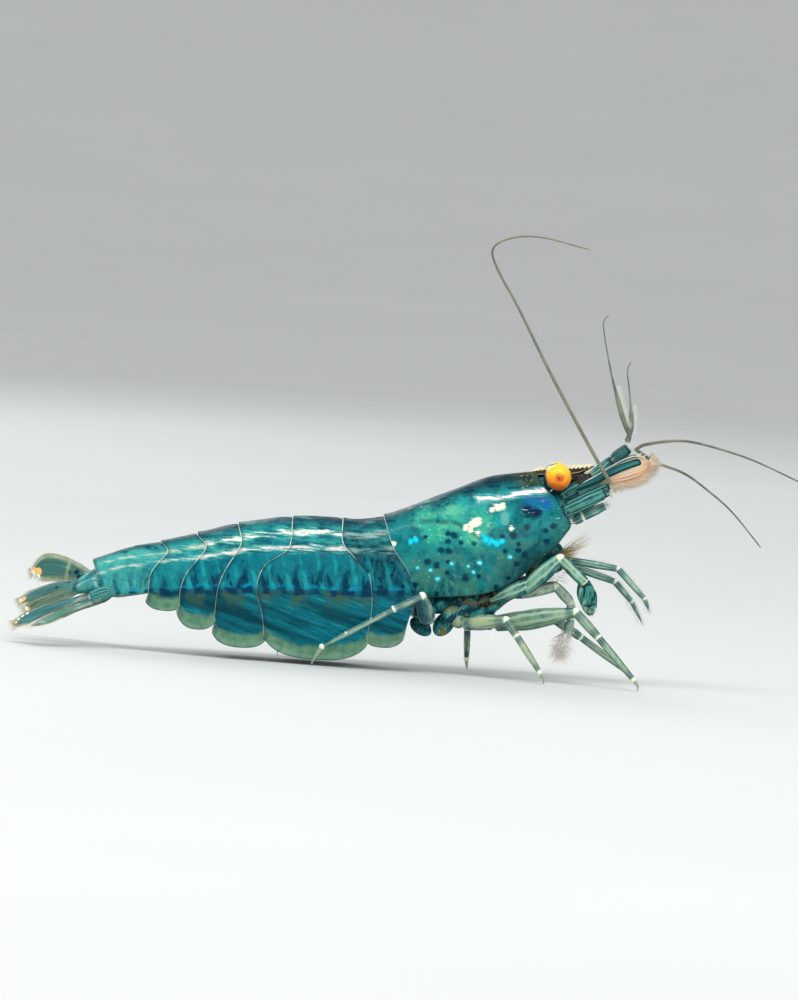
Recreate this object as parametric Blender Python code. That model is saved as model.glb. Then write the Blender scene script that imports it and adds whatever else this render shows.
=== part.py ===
"""Blue tiger shrimp, a large female at life size, standing still on its six walking legs.

Run it with blender --background --python part.py or from Blender's text editor. World axes:
+X points to the head, -Y is the animal's right side, +Z is up and the feet stand on z = 0.
Sizes are written in millimetres and turned into metres by MM where the shapes are made.
"""
import math

import bmesh
import bpy
from mathutils import Vector

MM = 0.001
GAP = 0.06
PLATE = 0.5
FEELER = 0.25
RIGHT, LEFT = -1, 1
COLLECTION = "shrimp"

# Outlines of the body seen from the side, as (x, z) stations from tail to head.
BACK = ((-15.7, 4.35), (-14.1, 5.12), (-12.4, 5.56), (-10.6, 6.12), (-8.6, 6.74), (-5.9, 7.27),
        (-3.4, 7.36), (-2.6, 7.36), (-1.4, 7.7), (0.9, 8.92), (3.2, 9.88), (4.6, 10.2),
        (6.2, 10.42))
BELLY = ((-14.6, 2.7), (-11.2, 3.2), (-5.4, 3.65), (0.4, 3.9))
CARAPACE_EDGE = ((-0.2, 3.7), (1.2, 3.63), (3.3, 3.86), (4.5, 4.2), (5.6, 4.96), (6.5, 6.0),
                 (7.2, 6.75))
HALF_WIDTH = ((-15.7, 0.85), (-13.5, 1.05), (-10.6, 1.5), (-7.5, 1.85), (-3.5, 2.0), (-1.0, 2.05),
              (2.0, 2.3), (4.5, 2.15), (6.5, 1.55), (7.9, 1.2))

# Borders between the body's rings, as (z, x) stations from low to high.
CARAPACE_FRONT = ((6.0, 6.45), (6.7, 7.15), (7.4, 7.6), (7.9, 7.85), (8.3, 7.6), (9.2, 7.0),
                  (9.6, 6.5), (10.4, 5.9))
# The sixth ring ends at the tail fan.
BORDERS = (
    ((1.1, -0.25), (2.6, 0.1), (3.6, 0.3), (4.3, 0.25), (5.0, -0.05), (6.1, -0.85), (7.7, -1.5)),
    ((1.6, -1.9), (3.0, -1.76), (4.0, -1.85), (4.9, -2.1), (5.6, -2.75), (6.2, -3.3), (7.3, -3.4)),
    ((1.3, -6.85), (2.5, -7.1), (3.4, -7.4), (4.2, -7.35), (4.9, -7.0), (5.7, -6.0), (7.2, -5.9)),
    ((1.6, -9.4), (2.7, -9.4), (3.6, -9.32), (4.5, -9.0), (5.4, -8.5), (5.9, -8.35), (6.7, -8.6)),
    ((2.5, -11.2), (3.3, -11.2), (4.1, -10.95), (4.9, -10.4), (5.5, -10.1), (6.0, -10.6)),
    ((2.7, -12.8), (3.9, -12.75), (4.5, -12.4), (5.1, -12.0), (5.5, -12.4)),
    ((2.7, -15.0), (4.3, -15.7)),
)
# Lowest point of each ring's side plate, and how far its corners rise from there.
# The sixth ring has none, only a slight lip under the flesh.
SIDE_PLATES = ((1.15, 0.7), (0.3, 1.5), (0.62, 1.0), (1.35, 1.2), (2.15, 0.6), None)
LIP = 0.06
TUCK = 0.2
FULLNESS = 2.5
# Rounds in which the carapace's lowest points settle onto its edge.
SETTLING = 8

EYE_RADIUS = 0.65
EYE_CENTRE = (7.13, 1.3, 10.15)

# Limbs of the right side; the left ones are mirrored where no pose of their own is given.
# Each walking leg is a list of (x, outward, z) joints from the body to the toe.
LEG_RADII = (0.42, 0.34, 0.32, 0.27, 0.25, 0.25)
WALKING_LEGS = {
    (3, RIGHT): ((3.75, 1.2, 2.85), (4.4, 1.45, 2.55), (8.45, 2.5, 3.8), (9.6, 2.8, 2.5),
                 (11.55, 3.35, 0.5)),
    (3, LEFT): ((3.75, 1.2, 2.85), (4.4, 1.45, 2.55), (7.55, 2.4, 3.0), (8.9, 2.7, 2.1),
                (11.4, 3.2, 0.5)),
    (4, RIGHT): ((2.4, 1.2, 2.8), (2.8, 1.45, 2.5), (5.05, 2.4, 3.15), (5.55, 2.6, 2.25),
                 (6.9, 3.2, 0.5)),
    (4, LEFT): ((2.4, 1.2, 2.8), (2.65, 1.55, 2.45), (3.0, 2.5, 3.2), (3.2, 2.75, 2.1),
                (3.25, 3.1, 0.5)),
    (5, RIGHT): ((1.05, 1.2, 2.85), (1.1, 1.6, 2.4), (0.85, 2.65, 4.1), (-0.6, 2.8, 3.15),
                 (-4.1, 3.15, 1.1)),
    (5, LEFT): ((1.05, 1.2, 2.85), (1.1, 1.6, 2.4), (-0.4, 2.65, 3.8), (-2.0, 2.8, 2.9),
                (-5.7, 3.1, 0.9)),
}
TOES = {(3, RIGHT): (11.72, 3.38), (3, LEFT): (11.6, 3.25), (4, RIGHT): (7.05, 3.25),
        (4, LEFT): (3.28, 3.15), (5, RIGHT): (-4.45, 3.2), (5, LEFT): (-6.3, 3.2)}
FOOT_HEIGHT = 0.3

# The two small clawed legs, folded up under the mouth.
FIRST_LEG = ((5.5, 0.62, 4.2), (6.6, 0.8, 4.7), (7.4, 0.85, 4.85), (8.3, 0.9, 4.0),
             (8.35, 0.9, 3.2), (7.9, 0.9, 1.6))
FIRST_LEG_RADII = (0.3, 0.32, 0.3, 0.3, 0.32, 0.25)
SECOND_LEG = ((5.75, 1.35, 4.45), (6.85, 1.5, 6.0), (7.45, 1.65, 6.35), (8.9, 1.75, 5.1),
              (9.05, 1.75, 4.2), (9.2, 1.75, 3.5))
SECOND_LEG_RADII = (0.34, 0.38, 0.27, 0.34, 0.4, 0.25)

JAW_LEG = {
    RIGHT: ((7.95, 0.5, 6.1), (8.3, 0.55, 6.2), (10.45, 0.75, 5.95), (11.9, 0.95, 4.45),
            (12.1, 1.0, 3.9)),
    LEFT: ((7.95, 0.5, 5.8), (8.35, 0.55, 5.75), (10.4, 0.75, 5.2), (11.3, 0.95, 4.2),
           (11.85, 1.0, 3.2)),
}
PALP = ((7.98, 0.9, 8.05), (9.6, 1.0, 8.95))

# Feelers, as (x, outward, z) points that a smooth curve runs through.
PEDUNCLE = ((7.3, 0.72, 9.2), (8.9, 0.72, 10.35), (9.7, 0.7, 11.15), (10.5, 0.68, 11.9))
PEDUNCLE_RADII = (0.4, 0.38, 0.34, 0.32)
OUTER_FLAGELLUM = {
    RIGHT: ((10.4, 0.68, 12.2), (10.45, 0.7, 12.6), (10.1, 0.8, 13.3), (9.5, 0.9, 15.0),
            (9.15, 1.0, 16.2), (8.85, 1.1, 17.4), (8.75, 1.2, 18.1), (9.0, 1.2, 18.5)),
    LEFT: ((10.4, 0.68, 12.2), (10.55, 0.75, 12.7), (10.55, 0.9, 13.4), (10.35, 1.1, 14.8),
           (10.2, 1.2, 15.7), (10.35, 1.25, 16.2)),
}
INNER_FLAGELLUM = {
    RIGHT: ((10.82, 0.66, 11.84), (11.3, 0.66, 12.15), (12.8, 0.8, 12.45), (14.0, 1.0, 12.4),
            (16.1, 1.4, 11.95), (17.6, 1.7, 11.45), (20.0, 2.2, 10.5)),
    LEFT: ((10.82, 0.66, 11.84), (11.3, 0.7, 11.6), (11.9, 0.8, 11.25), (13.4, 1.0, 10.8),
           (14.7, 1.2, 10.0), (16.0, 1.5, 9.0), (17.6, 1.8, 7.3)),
}
ANTENNA_BASE = ((7.65, 1.45, 8.62), (9.45, 1.6, 9.62))
ANTENNA = {
    RIGHT: ((9.72, 1.7, 9.78), (9.65, 2.0, 10.15), (9.0, 2.2, 11.1), (7.6, 2.5, 13.25),
            (6.1, 2.8, 15.65), (4.4, 3.2, 18.55), (3.3, 3.6, 20.25), (2.95, 4.0, 21.3),
            (3.8, 4.4, 21.9), (5.3, 4.75, 22.05), (7.75, 5.3, 21.6)),
    LEFT: ((9.72, 1.7, 9.78), (9.75, 2.1, 9.85), (9.2, 2.6, 9.6), (7.2, 3.1, 9.0),
           (4.5, 3.55, 8.0), (0.5, 4.05, 6.6), (-4.0, 4.6, 5.5), (-8.5, 5.2, 4.7)),
}

# Flat limbs: (x, outward, z) points of the middle line and the width at each of them.
SCALE_LINE = ((8.1, 1.3, 9.6), (9.4, 1.35, 10.3), (10.4, 1.4, 10.75), (11.2, 1.4, 11.1),
              (11.6, 1.4, 11.3))
SCALE_WIDTHS = (0.5, 0.8, 1.2, 1.1, 0.5)
TELSON_LINE = ((-15.85, 0.0, 3.05), (-17.4, 0.0, 2.4), (-19.0, 0.0, 1.55))
TELSON_WIDTHS = (0.9, 0.75, 0.45)
INNER_BLADE = {
    RIGHT: ((-15.5, 0.75, 2.5), (-17.5, 1.1, 1.75), (-18.8, 1.3, 1.1), (-19.45, 1.4, 0.75)),
    LEFT: ((-15.9, 0.75, 3.1), (-17.5, 1.1, 2.75), (-18.8, 1.3, 2.2), (-19.4, 1.4, 1.85)),
}
INNER_WIDTHS = (0.5, 0.95, 1.05, 0.5)
OUTER_BLADE = {
    RIGHT: ((-15.2, 1.2, 2.45), (-17.4, 2.1, 1.5), (-18.7, 2.7, 0.85), (-19.4, 3.0, 0.55)),
    LEFT: ((-15.2, 1.25, 3.05), (-17.2, 2.05, 3.6), (-18.4, 2.5, 3.6), (-19.0, 2.75, 3.3)),
}
OUTER_WIDTHS = (0.5, 1.3, 1.5, 0.7)
# How far each outer blade's face leans up to the side: the left one is raised, the right is not.
OUTER_LEAN = {RIGHT: math.radians(12), LEFT: math.radians(42)}
INNER_LEAN = math.radians(10)

PLEOPOD_ROOTS = (-2.7, -5.0, -7.2, -9.3, -11.4)
PLEOPOD_LENGTHS = (2.0, 2.6, 2.2, 1.8, 1.3)
PLEOPOD_OUTWARD = 0.72

BLUE = (0.02, 0.26, 0.36, 1)
DEEP_BLUE = (0.01, 0.1, 0.2, 1)
LEG_BLUE = (0.12, 0.3, 0.36, 1)
PALE_GREEN = (0.2, 0.42, 0.38, 1)
FEELER_GREY = (0.22, 0.28, 0.2, 1)
GOLD = (0.45, 0.33, 0.1, 1)
ORANGE = (0.95, 0.42, 0.02, 1)


def clear_scene():
    """Take out whatever the scene holds, so that the script starts empty."""
    for thing in list(bpy.data.objects):
        bpy.data.objects.remove(thing, do_unlink=True)
    for group in list(bpy.data.collections):
        bpy.data.collections.remove(group)


def finish(thing, name, colour, roughness):
    """Name an object, give it a material of its own and put it in the shrimp's collection."""
    material = bpy.data.materials.new(name + "_finish")
    material.use_nodes = True
    shader = material.node_tree.nodes["Principled BSDF"]
    shader.inputs["Base Color"].default_value = colour
    shader.inputs["Roughness"].default_value = roughness
    shader.inputs["Metallic"].default_value = 0.0
    thing.data.materials.append(material)
    thing.name = name
    bpy.data.collections[COLLECTION].objects.link(thing)
    return thing


def smooth(stations, at):
    """Value at one place of the smooth curve through the stations, held flat past its ends."""
    if at <= stations[0][0]:
        return stations[0][1]
    if at >= stations[-1][0]:
        return stations[-1][1]
    slopes = []
    for i in range(len(stations)):
        before = stations[max(i - 1, 0)]
        after = stations[min(i + 1, len(stations) - 1)]
        slopes.append((after[1] - before[1]) / (after[0] - before[0]))
    i = max(k for k in range(len(stations) - 1) if stations[k][0] <= at)
    span = stations[i + 1][0] - stations[i][0]
    t = (at - stations[i][0]) / span
    start = (1 + 2 * t) * (1 - t) ** 2 * stations[i][1] + t * (1 - t) ** 2 * span * slopes[i]
    end = t * t * (3 - 2 * t) * stations[i + 1][1] + t * t * (t - 1) * span * slopes[i + 1]
    return start + end


def mix(a, b, t):
    """Straight blend from a to b."""
    return a + (b - a) * t


def on_side(points, side):
    """Turn (x, outward, z) points into places on the right or the left of the body."""
    return [Vector((x, side * out, z)) for x, out, z in points]


def smooth_path(points, count):
    """Evenly counted places on the smooth curve through the points."""
    tracks = [[(i, p[axis]) for i, p in enumerate(points)] for axis in range(3)]
    last = len(points) - 1
    steps = [last * k / (count - 1) for k in range(count)]
    return [Vector([smooth(track, at) for track in tracks]) for at in steps]


def soften(points, radii, reach=0.3):
    """Cut each inner corner of a jointed limb in two, so that the joint reads as a knuckle."""
    places, sizes = [points[0]], [radii[0]]
    for i in range(1, len(points) - 1):
        for other in (i - 1, i + 1):
            way = points[other] - points[i]
            places.append(points[i] + way.normalized() * min(reach, way.length * 0.3))
            sizes.append(radii[i])
    return places + [points[-1]], sizes + [radii[-1]]


def tube(name, places, radii, colour, resolution=2):
    """Round limb along the places, with a radius at each of them and closed ends."""
    curve = bpy.data.curves.new(name, "CURVE")
    curve.dimensions = "3D"
    curve.bevel_depth = MM
    curve.bevel_resolution = resolution
    curve.use_fill_caps = True
    line = curve.splines.new("POLY")
    line.points.add(len(places) - 1)
    for point, place, radius in zip(line.points, places, radii):
        point.co = (*(place * MM), 1)
        point.radius = radius
    return finish(bpy.data.objects.new(name, curve), name, colour, 0.3)


def loft(name, rings, fold, colour, roughness=0.3, ends=None):
    """Closed body through rings of equal count; point i of an end ring faces point fold - i.

    ends holds the two borders, if any, that the middles of the end faces follow.
    """
    mesh = bmesh.new()
    count = len(rings[0])
    layers = [[mesh.verts.new(Vector(place) * MM) for place in ring] for ring in rings]
    for low, high in zip(layers, layers[1:]):
        for i in range(count):
            j = (i + 1) % count
            mesh.faces.new((low[i], low[j], high[j], high[i]))
    for end, layer in enumerate((layers[0], layers[-1])):
        pairs = count // 2 + 1 - fold % 2
        chords = [[layer[i], layer[(fold - i) % count]] for i in range(pairs)]
        if ends:
            border, shift = ends[end]
            for chord in chords[1:-1]:
                middle = (chord[0].co + chord[1].co) / 2
                middle.x = (smooth(border, middle.z / MM) + shift) * MM
                chord.insert(1, mesh.verts.new(middle))
        for chord, other in zip(chords, chords[1:]):
            corners = list(dict.fromkeys(chord + other[::-1]))
            if len(corners) == 6:
                mesh.faces.new((chord[0], other[0], other[1], chord[1]))
                mesh.faces.new((chord[1], other[1], other[2], chord[2]))
            elif len(corners) > 2:
                mesh.faces.new(corners)
    bmesh.ops.recalc_face_normals(mesh, faces=mesh.faces)
    data = bpy.data.meshes.new(name)
    mesh.to_mesh(data)
    mesh.free()
    return finish(bpy.data.objects.new(name, data), name, colour, roughness)


def blade(name, line, widths, side, lean, colour, across=None):
    """Leaf-like limb, PLATE thick, around a middle line, its face leaning up to the side."""
    places = smooth_path(on_side(line, side), 7)
    sizes = [smooth(list(enumerate(widths)), (len(widths) - 1) * k / 6) for k in range(7)]
    rings = []
    for i, (place, width) in enumerate(zip(places, sizes)):
        along = (places[min(i + 1, 6)] - places[max(i - 1, 0)]).normalized()
        flat = across or Vector((0, math.cos(lean) * side, math.sin(lean)))
        flat = (flat - along * flat.dot(along)).normalized()
        face = along.cross(flat)
        ring = []
        for k in range(8):
            turn = math.tau * k / 8
            out = math.copysign(abs(math.cos(turn)) ** 0.8, math.cos(turn)) * width / 2
            up = math.copysign(abs(math.sin(turn)) ** 0.6, math.sin(turn)) * PLATE / 2
            ring.append(place + flat * out + face * up)
        rings.append(ring)
    return loft(name, rings, 0, colour)


def carapace():
    """Head and trunk shield, as one solid whose ends follow its own borders."""
    steps, half = 13, 11
    rings = []
    for step in range(steps + 1):
        t = step / steps
        top_x = mix(BORDERS[0][-1][1] + GAP, CARAPACE_FRONT[-1][1], t)
        low_x = mix(BORDERS[0][2][1] + GAP, CARAPACE_FRONT[1][1], t)
        for _ in range(SETTLING):
            low = smooth(CARAPACE_EDGE, low_x)
            low_x = mix(smooth(BORDERS[0], low) + GAP, smooth(CARAPACE_FRONT, low), t)
        top = smooth(BACK, top_x)
        wide = smooth(HALF_WIDTH, mix(top_x, low_x, 0.5))
        waist = mix(low, top, 0.42)
        sharp = mix(1.0, 1.35, t)
        ring = []
        for i in range(half + 1):
            turn = math.pi * (i / half - 0.5)
            if turn < 0:
                out = wide * math.cos(turn) ** 0.55
                z = waist + (waist - low) * math.copysign(abs(math.sin(turn)) ** 0.9, turn)
            else:
                out = wide * math.cos(turn) ** sharp
                z = waist + (top - waist) * math.sin(turn)
            x = mix(smooth(BORDERS[0], z) + GAP, smooth(CARAPACE_FRONT, z), t)
            ring.append((x, RIGHT * out, z))
        left = [(x, -y, z) for x, y, z in ring[half - 1:0:-1]]
        rings.append(ring + left)
    return loft("carapace", rings, 0, BLUE, 0.2)


def rostrum():
    """Toothed beak over the eyes, a flat outline as thick as a plate."""
    teeth, start, tip = 12, 5.97, 8.85
    outline = [(start, 10.28), (start, 10.42)]
    for i in range(teeth):
        x = mix(start + 0.08, tip - 0.25, i / teeth)
        base = mix(10.45, 10.84, i / teeth)
        outline.append((x, base))
        outline.append((x + 0.17, base + 0.12))
    outline += [(tip, 10.92), (8.3, 10.62), (7.4, 10.46), (6.6, 10.36)]
    curve = bpy.data.curves.new("rostrum", "CURVE")
    curve.dimensions = "2D"
    curve.fill_mode = "BOTH"
    curve.extrude = PLATE / 2 * MM
    line = curve.splines.new("POLY")
    line.use_cyclic_u = True
    line.points.add(len(outline) - 1)
    for point, (x, z) in zip(line.points, outline):
        point.co = (x * MM, z * MM, 0, 1)
    thing = finish(bpy.data.objects.new("rostrum", curve), "rostrum", GOLD, 0.35)
    thing.rotation_euler = (math.pi / 2, 0, 0)
    return thing


def keel(name, stations, colour):
    """Body part under the carapace, from (x, top, bottom, half width) stations."""
    rings = []
    for x, top, low, wide in stations:
        middle, tall = (top + low) / 2, (top - low) / 2
        ring = []
        for i in range(12):
            turn = math.tau * i / 12 - math.pi / 2
            out = wide * math.copysign(abs(math.cos(turn)) ** 0.7, math.cos(turn))
            up = tall * math.copysign(abs(math.sin(turn)) ** 0.8, math.sin(turn))
            ring.append((x, out, middle + up))
        rings.append(ring)
    return loft(name, rings, 0, colour)


def arch(number, t):
    """One ring of an abdomen segment: back and side plates outside, flesh and hollow inside."""
    front, rear = BORDERS[number - 1], BORDERS[number]
    top_x = mix(front[-1][1] - GAP, rear[-1][1] + GAP, t)
    top, flesh = smooth(BACK, top_x), smooth(BELLY, top_x)
    if SIDE_PLATES[number - 1]:
        bottom, rise = SIDE_PLATES[number - 1]
        swing = 0.97 * (2 * t - 1)
        tip = bottom + rise * (1 - (1 - abs(swing) ** FULLNESS) ** (1 / FULLNESS))
    else:
        tip = flesh - LIP
    wide = smooth(HALF_WIDTH, top_x)
    waist = mix(flesh, top, 0.45)
    plate_steps, back_steps = 5, 6
    outer, inner = [], []
    for i in range(plate_steps):
        share = i / plate_steps
        tuck = TUCK * (1 - share) ** 2
        outer.append((wide - tuck, mix(tip, waist, share)))
        inner.append((wide - PLATE - tuck, mix(tip, flesh, i / (plate_steps - 1))))
    for i in range(back_steps + 1):
        turn = math.pi / 2 * i / back_steps
        outer.append((wide * math.cos(turn), waist + (top - waist) * math.sin(turn)))
        inner.append(((wide - PLATE) * (1 - (i + 1) / (back_steps + 1)), flesh))
    ring = [(RIGHT * out, z) for out, z in outer] + [(LEFT * out, z) for out, z in outer[-2::-1]]
    ring += [(LEFT * out, z) for out, z in inner] + [(RIGHT * out, z) for out, z in inner[-2::-1]]
    return [(mix(smooth(front, z) - GAP, smooth(rear, z) + GAP, t), y, z) for y, z in ring]


def abdomen():
    """The six rings of the abdomen, parted by thin cuts along their borders."""
    for number in range(1, 7):
        rings = [arch(number, step / 5) for step in range(6)]
        ends = ((BORDERS[number - 1], -GAP), (BORDERS[number], GAP))
        loft(f"abdomen_{number}", rings, len(rings[0]) - 1, BLUE, 0.2, ends)


def pleopods():
    """Five pairs of swimming legs, folded forward in the hollow between the side plates."""
    for number, (root, length) in enumerate(zip(PLEOPOD_ROOTS, PLEOPOD_LENGTHS), 1):
        top = smooth(BELLY, root) - 0.1
        line = [(root + ahead * length, PLEOPOD_OUTWARD, top - down * length)
                for ahead, down in ((0, 0), (0.25, 0.35), (0.75, 0.75), (0.95, 1.0))]
        for side, word in ((RIGHT, "right"), (LEFT, "left")):
            blade(f"pleopod_{number}_{word}", line, (0.6, 0.6, 0.8, 0.45), side, 0, LEG_BLUE,
                  across=Vector((0.8, 0, 0.6)))


def tail_fan():
    """Telson and the four blades beside it."""
    blade("telson", TELSON_LINE, TELSON_WIDTHS, LEFT, 0, PALE_GREEN)
    for side, word in ((RIGHT, "right"), (LEFT, "left")):
        blade(f"uropod_inner_{word}", INNER_BLADE[side], INNER_WIDTHS, side, INNER_LEAN, PALE_GREEN)
        blade(f"uropod_outer_{word}", OUTER_BLADE[side], OUTER_WIDTHS, side, OUTER_LEAN[side],
              PALE_GREEN)


def eye(side, word):
    """Round eye on its short stalk."""
    centre = Vector((EYE_CENTRE[0], side * EYE_CENTRE[1], EYE_CENTRE[2]))
    ball = bmesh.new()
    bmesh.ops.create_uvsphere(ball, u_segments=16, v_segments=10, radius=EYE_RADIUS * MM)
    data = bpy.data.meshes.new("eye")
    ball.to_mesh(data)
    ball.free()
    thing = finish(bpy.data.objects.new("eye", data), "eye_" + word, ORANGE, 0.1)
    thing.location = centre * MM
    root = Vector((6.78, side * 0.42, 9.95))
    end = centre + (root - centre).normalized() * (EYE_RADIUS + GAP / 2)
    tube("eyestalk_" + word, [root, end], (0.3, 0.3), DEEP_BLUE)


def feelers(side, word):
    """Antennule with its two flagella, and antenna with its base and scale."""
    tube("antennule_" + word, on_side(PEDUNCLE, side), PEDUNCLE_RADII, LEG_BLUE)
    for name, route, count in (("antennule_outer_", OUTER_FLAGELLUM[side], 14),
                               ("antennule_inner_", INNER_FLAGELLUM[side], 16),
                               ("antenna_", ANTENNA[side], 26)):
        places = smooth_path(on_side(route, side), count)
        tube(name + word, places, [FEELER] * count, FEELER_GREY, 1)
    tube("antenna_base_" + word, on_side(ANTENNA_BASE, side), (0.36, 0.32), LEG_BLUE)
    blade("antenna_scale_" + word, SCALE_LINE, SCALE_WIDTHS, side, 0, GOLD,
          across=Vector((-0.5, 0, 0.86)))


def mouth_limbs(side, word):
    """Jaw leg, palp and the two small clawed legs."""
    places, sizes = soften(on_side(JAW_LEG[side], side), [FEELER] * 5)
    tube("maxilliped_" + word, places, sizes, LEG_BLUE)
    tube("palp_" + word, on_side(PALP, side), (0.27, 0.25), LEG_BLUE)
    places, sizes = soften(on_side(FIRST_LEG, side), FIRST_LEG_RADII)
    tube("leg_1_" + word, places, sizes, LEG_BLUE)
    places, sizes = soften(on_side(SECOND_LEG, side), SECOND_LEG_RADII)
    tube("leg_2_" + word, places, sizes, LEG_BLUE)


def walking_leg(number, side, word):
    """Jointed leg down to a small flat foot on the floor."""
    toe_x, toe_out = TOES[number, side]
    joints = WALKING_LEGS[number, side] + ((toe_x, toe_out, FOOT_HEIGHT),)
    places, sizes = soften(on_side(joints, side), LEG_RADII)
    places.append(Vector((toe_x, side * toe_out, 0)))
    sizes.append(FEELER)
    tube(f"leg_{number}_{word}", places, sizes, LEG_BLUE)


def build():
    """Make every named piece of the shrimp."""
    clear_scene()
    bpy.context.scene.collection.children.link(bpy.data.collections.new(COLLECTION))
    carapace()
    rostrum()
    keel("sternum", ((0.75, 3.5, 3.0, 0.7), (2.0, 3.56, 2.65, 0.85), (3.4, 3.78, 2.75, 0.85),
                     (4.6, 4.1, 3.2, 0.7), (5.3, 4.5, 3.9, 0.45)), PALE_GREEN)
    keel("mouthparts", ((6.0, 5.2, 4.95, 0.4), (6.4, 5.75, 5.2, 0.65), (7.0, 6.35, 5.3, 0.7),
                        (7.6, 6.7, 5.45, 0.65), (7.85, 6.5, 5.7, 0.45)), DEEP_BLUE)
    abdomen()
    pleopods()
    tail_fan()
    for side, word in ((RIGHT, "right"), (LEFT, "left")):
        eye(side, word)
        feelers(side, word)
        mouth_limbs(side, word)
        for number in (3, 4, 5):
            walking_leg(number, side, word)


build()
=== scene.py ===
"""Looks of the blue tiger shrimp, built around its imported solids.

Limbs, feelers and tail blades follow the middle lines of their own CAD nodes, and the shells follow
the back, belly and border lines read from theirs. Shapes are worked out in millimetres and turned
into metres by MM where a mesh is made. +X points to the head and -Y is the animal's right side.
"""
import math

import bmesh
import bpy
import numpy as np
from mathutils import Matrix, Vector, noise


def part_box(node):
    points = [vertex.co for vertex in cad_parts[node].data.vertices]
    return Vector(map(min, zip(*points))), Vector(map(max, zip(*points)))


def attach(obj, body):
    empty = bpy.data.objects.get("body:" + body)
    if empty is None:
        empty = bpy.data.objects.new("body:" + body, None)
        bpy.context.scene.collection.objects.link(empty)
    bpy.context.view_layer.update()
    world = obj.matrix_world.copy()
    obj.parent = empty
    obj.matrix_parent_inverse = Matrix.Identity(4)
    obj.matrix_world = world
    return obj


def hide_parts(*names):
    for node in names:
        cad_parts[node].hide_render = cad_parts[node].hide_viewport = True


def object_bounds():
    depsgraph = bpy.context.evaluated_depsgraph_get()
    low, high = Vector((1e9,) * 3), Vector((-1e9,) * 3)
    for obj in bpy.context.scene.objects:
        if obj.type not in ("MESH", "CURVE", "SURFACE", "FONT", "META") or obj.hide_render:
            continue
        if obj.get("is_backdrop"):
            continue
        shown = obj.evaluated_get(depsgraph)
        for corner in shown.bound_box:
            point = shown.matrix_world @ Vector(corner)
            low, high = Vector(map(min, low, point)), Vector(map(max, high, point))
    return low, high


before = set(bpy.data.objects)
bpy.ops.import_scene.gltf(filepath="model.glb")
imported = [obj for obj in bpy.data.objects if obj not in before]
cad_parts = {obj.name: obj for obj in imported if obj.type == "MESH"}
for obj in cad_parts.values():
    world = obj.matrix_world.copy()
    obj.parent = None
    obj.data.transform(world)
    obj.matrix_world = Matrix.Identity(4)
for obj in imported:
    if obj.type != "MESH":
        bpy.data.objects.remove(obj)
cad_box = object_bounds()

MM = 0.001
WELD = 1e-7  # distance in m within which the CAD's corners are one
FLAT = 0.99995  # cosine between two faces of one flat end
UNEVEN = 9  # corners by which the rings of one limb may differ
RIGHT, LEFT = -1, 1
SIDES = ((RIGHT, "right"), (LEFT, "left"))
SHELL_DEPTH = 0.035  # in mm
ODD_WAY = (0.31, 0.84, 0.45)  # a way that no bristle takes
chance = np.random.default_rng(7)


# ---------------------------------------------------------------- numbers

def smooth(stations, at):
    """Values at places of the smooth curve through (place, value) stations, held past its ends."""
    place, value = np.array(stations, float).T
    at = np.clip(np.asarray(at, float), place[0], place[-1])
    before = np.maximum(np.arange(len(place)) - 1, 0)
    after = np.minimum(np.arange(len(place)) + 1, len(place) - 1)
    slope = (value[after] - value[before]) / (place[after] - place[before])
    i = np.clip(np.searchsorted(place, at, side="right") - 1, 0, len(place) - 2)
    span = place[i + 1] - place[i]
    t = (at - place[i]) / span
    start = (1 + 2 * t) * (1 - t) ** 2 * value[i] + t * (1 - t) ** 2 * span * slope[i]
    end = t * t * (3 - 2 * t) * value[i + 1] + t * t * (t - 1) * span * slope[i + 1]
    return start + end


def mix(a, b, t):
    """Straight blend from a to b."""
    return a + (b - a) * t


def ease(at, low, high):
    """0 below low, 1 above high and a soft step between."""
    t = np.clip((np.asarray(at, float) - low) / (high - low), 0, 1)
    return t * t * (3 - 2 * t)


def unit(ways):
    """The ways at length one."""
    return ways / np.maximum(np.linalg.norm(ways, axis=-1, keepdims=True), 1e-9)


def travelled(line):
    """How far along a line each of its points is."""
    steps = np.linalg.norm(np.diff(line, axis=0), axis=1)
    return np.concatenate(([0], np.cumsum(steps)))


def follow(far, values, at):
    """Smooth curves through the columns of values, which stand at far, read at other places."""
    return np.stack([smooth(np.stack((far, column), 1), at) for column in np.transpose(values)], 1)


def resample(line, count, shares=None):
    """Points at even distances, or at the given shares, of the smooth curve through the line."""
    far = travelled(line)
    shares = np.linspace(0, 1, count) if shares is None else np.asarray(shares)
    return follow(far, line, far[-1] * shares)


def turns(count):
    """Angles of a ring's columns, as one row."""
    return np.linspace(0, math.tau, count, endpoint=False)[None]


def rough(places, size, seed=0.0):
    """Soft noise from -1 to 1 at each place, with features about size mm across."""
    flat = places.reshape(-1, 3) / size + seed
    made = np.array([noise.noise(Vector(p)) for p in flat])
    return made.reshape(places.shape[:-1])


# ---------------------------------------------------------------- what the frame says

def box_of(node):
    """Low and high corner of a CAD node's box, in mm."""
    return [np.array(corner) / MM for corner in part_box(node)]


def cap_corners(mesh):
    """Sets of corners that may be a lofted body's end: each is one flat face's outline."""
    done = set()
    for face in mesh.faces:
        if face in done:
            continue
        flat, queue = {face}, [face]
        while queue:
            for edge in queue.pop().edges:
                for other in edge.link_faces:
                    if other not in flat and other.normal.dot(face.normal) > FLAT:
                        flat.add(other)
                        queue.append(other)
        done |= flat
        outline = {corner for part in flat for corner in part.verts}
        # A flat face with n corners is cut into n - 2 triangles.
        if len(flat) == len(outline) - 2 and len(outline) > 4:
            yield outline


def in_order(ring):
    """A ring's corners in mm, sorted by y, z and x, so that each run takes them in one order."""
    places = np.array([list(corner.co) for corner in ring]) / MM
    return places[np.lexsort(places.round(4).T[[0, 2, 1]])]


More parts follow.
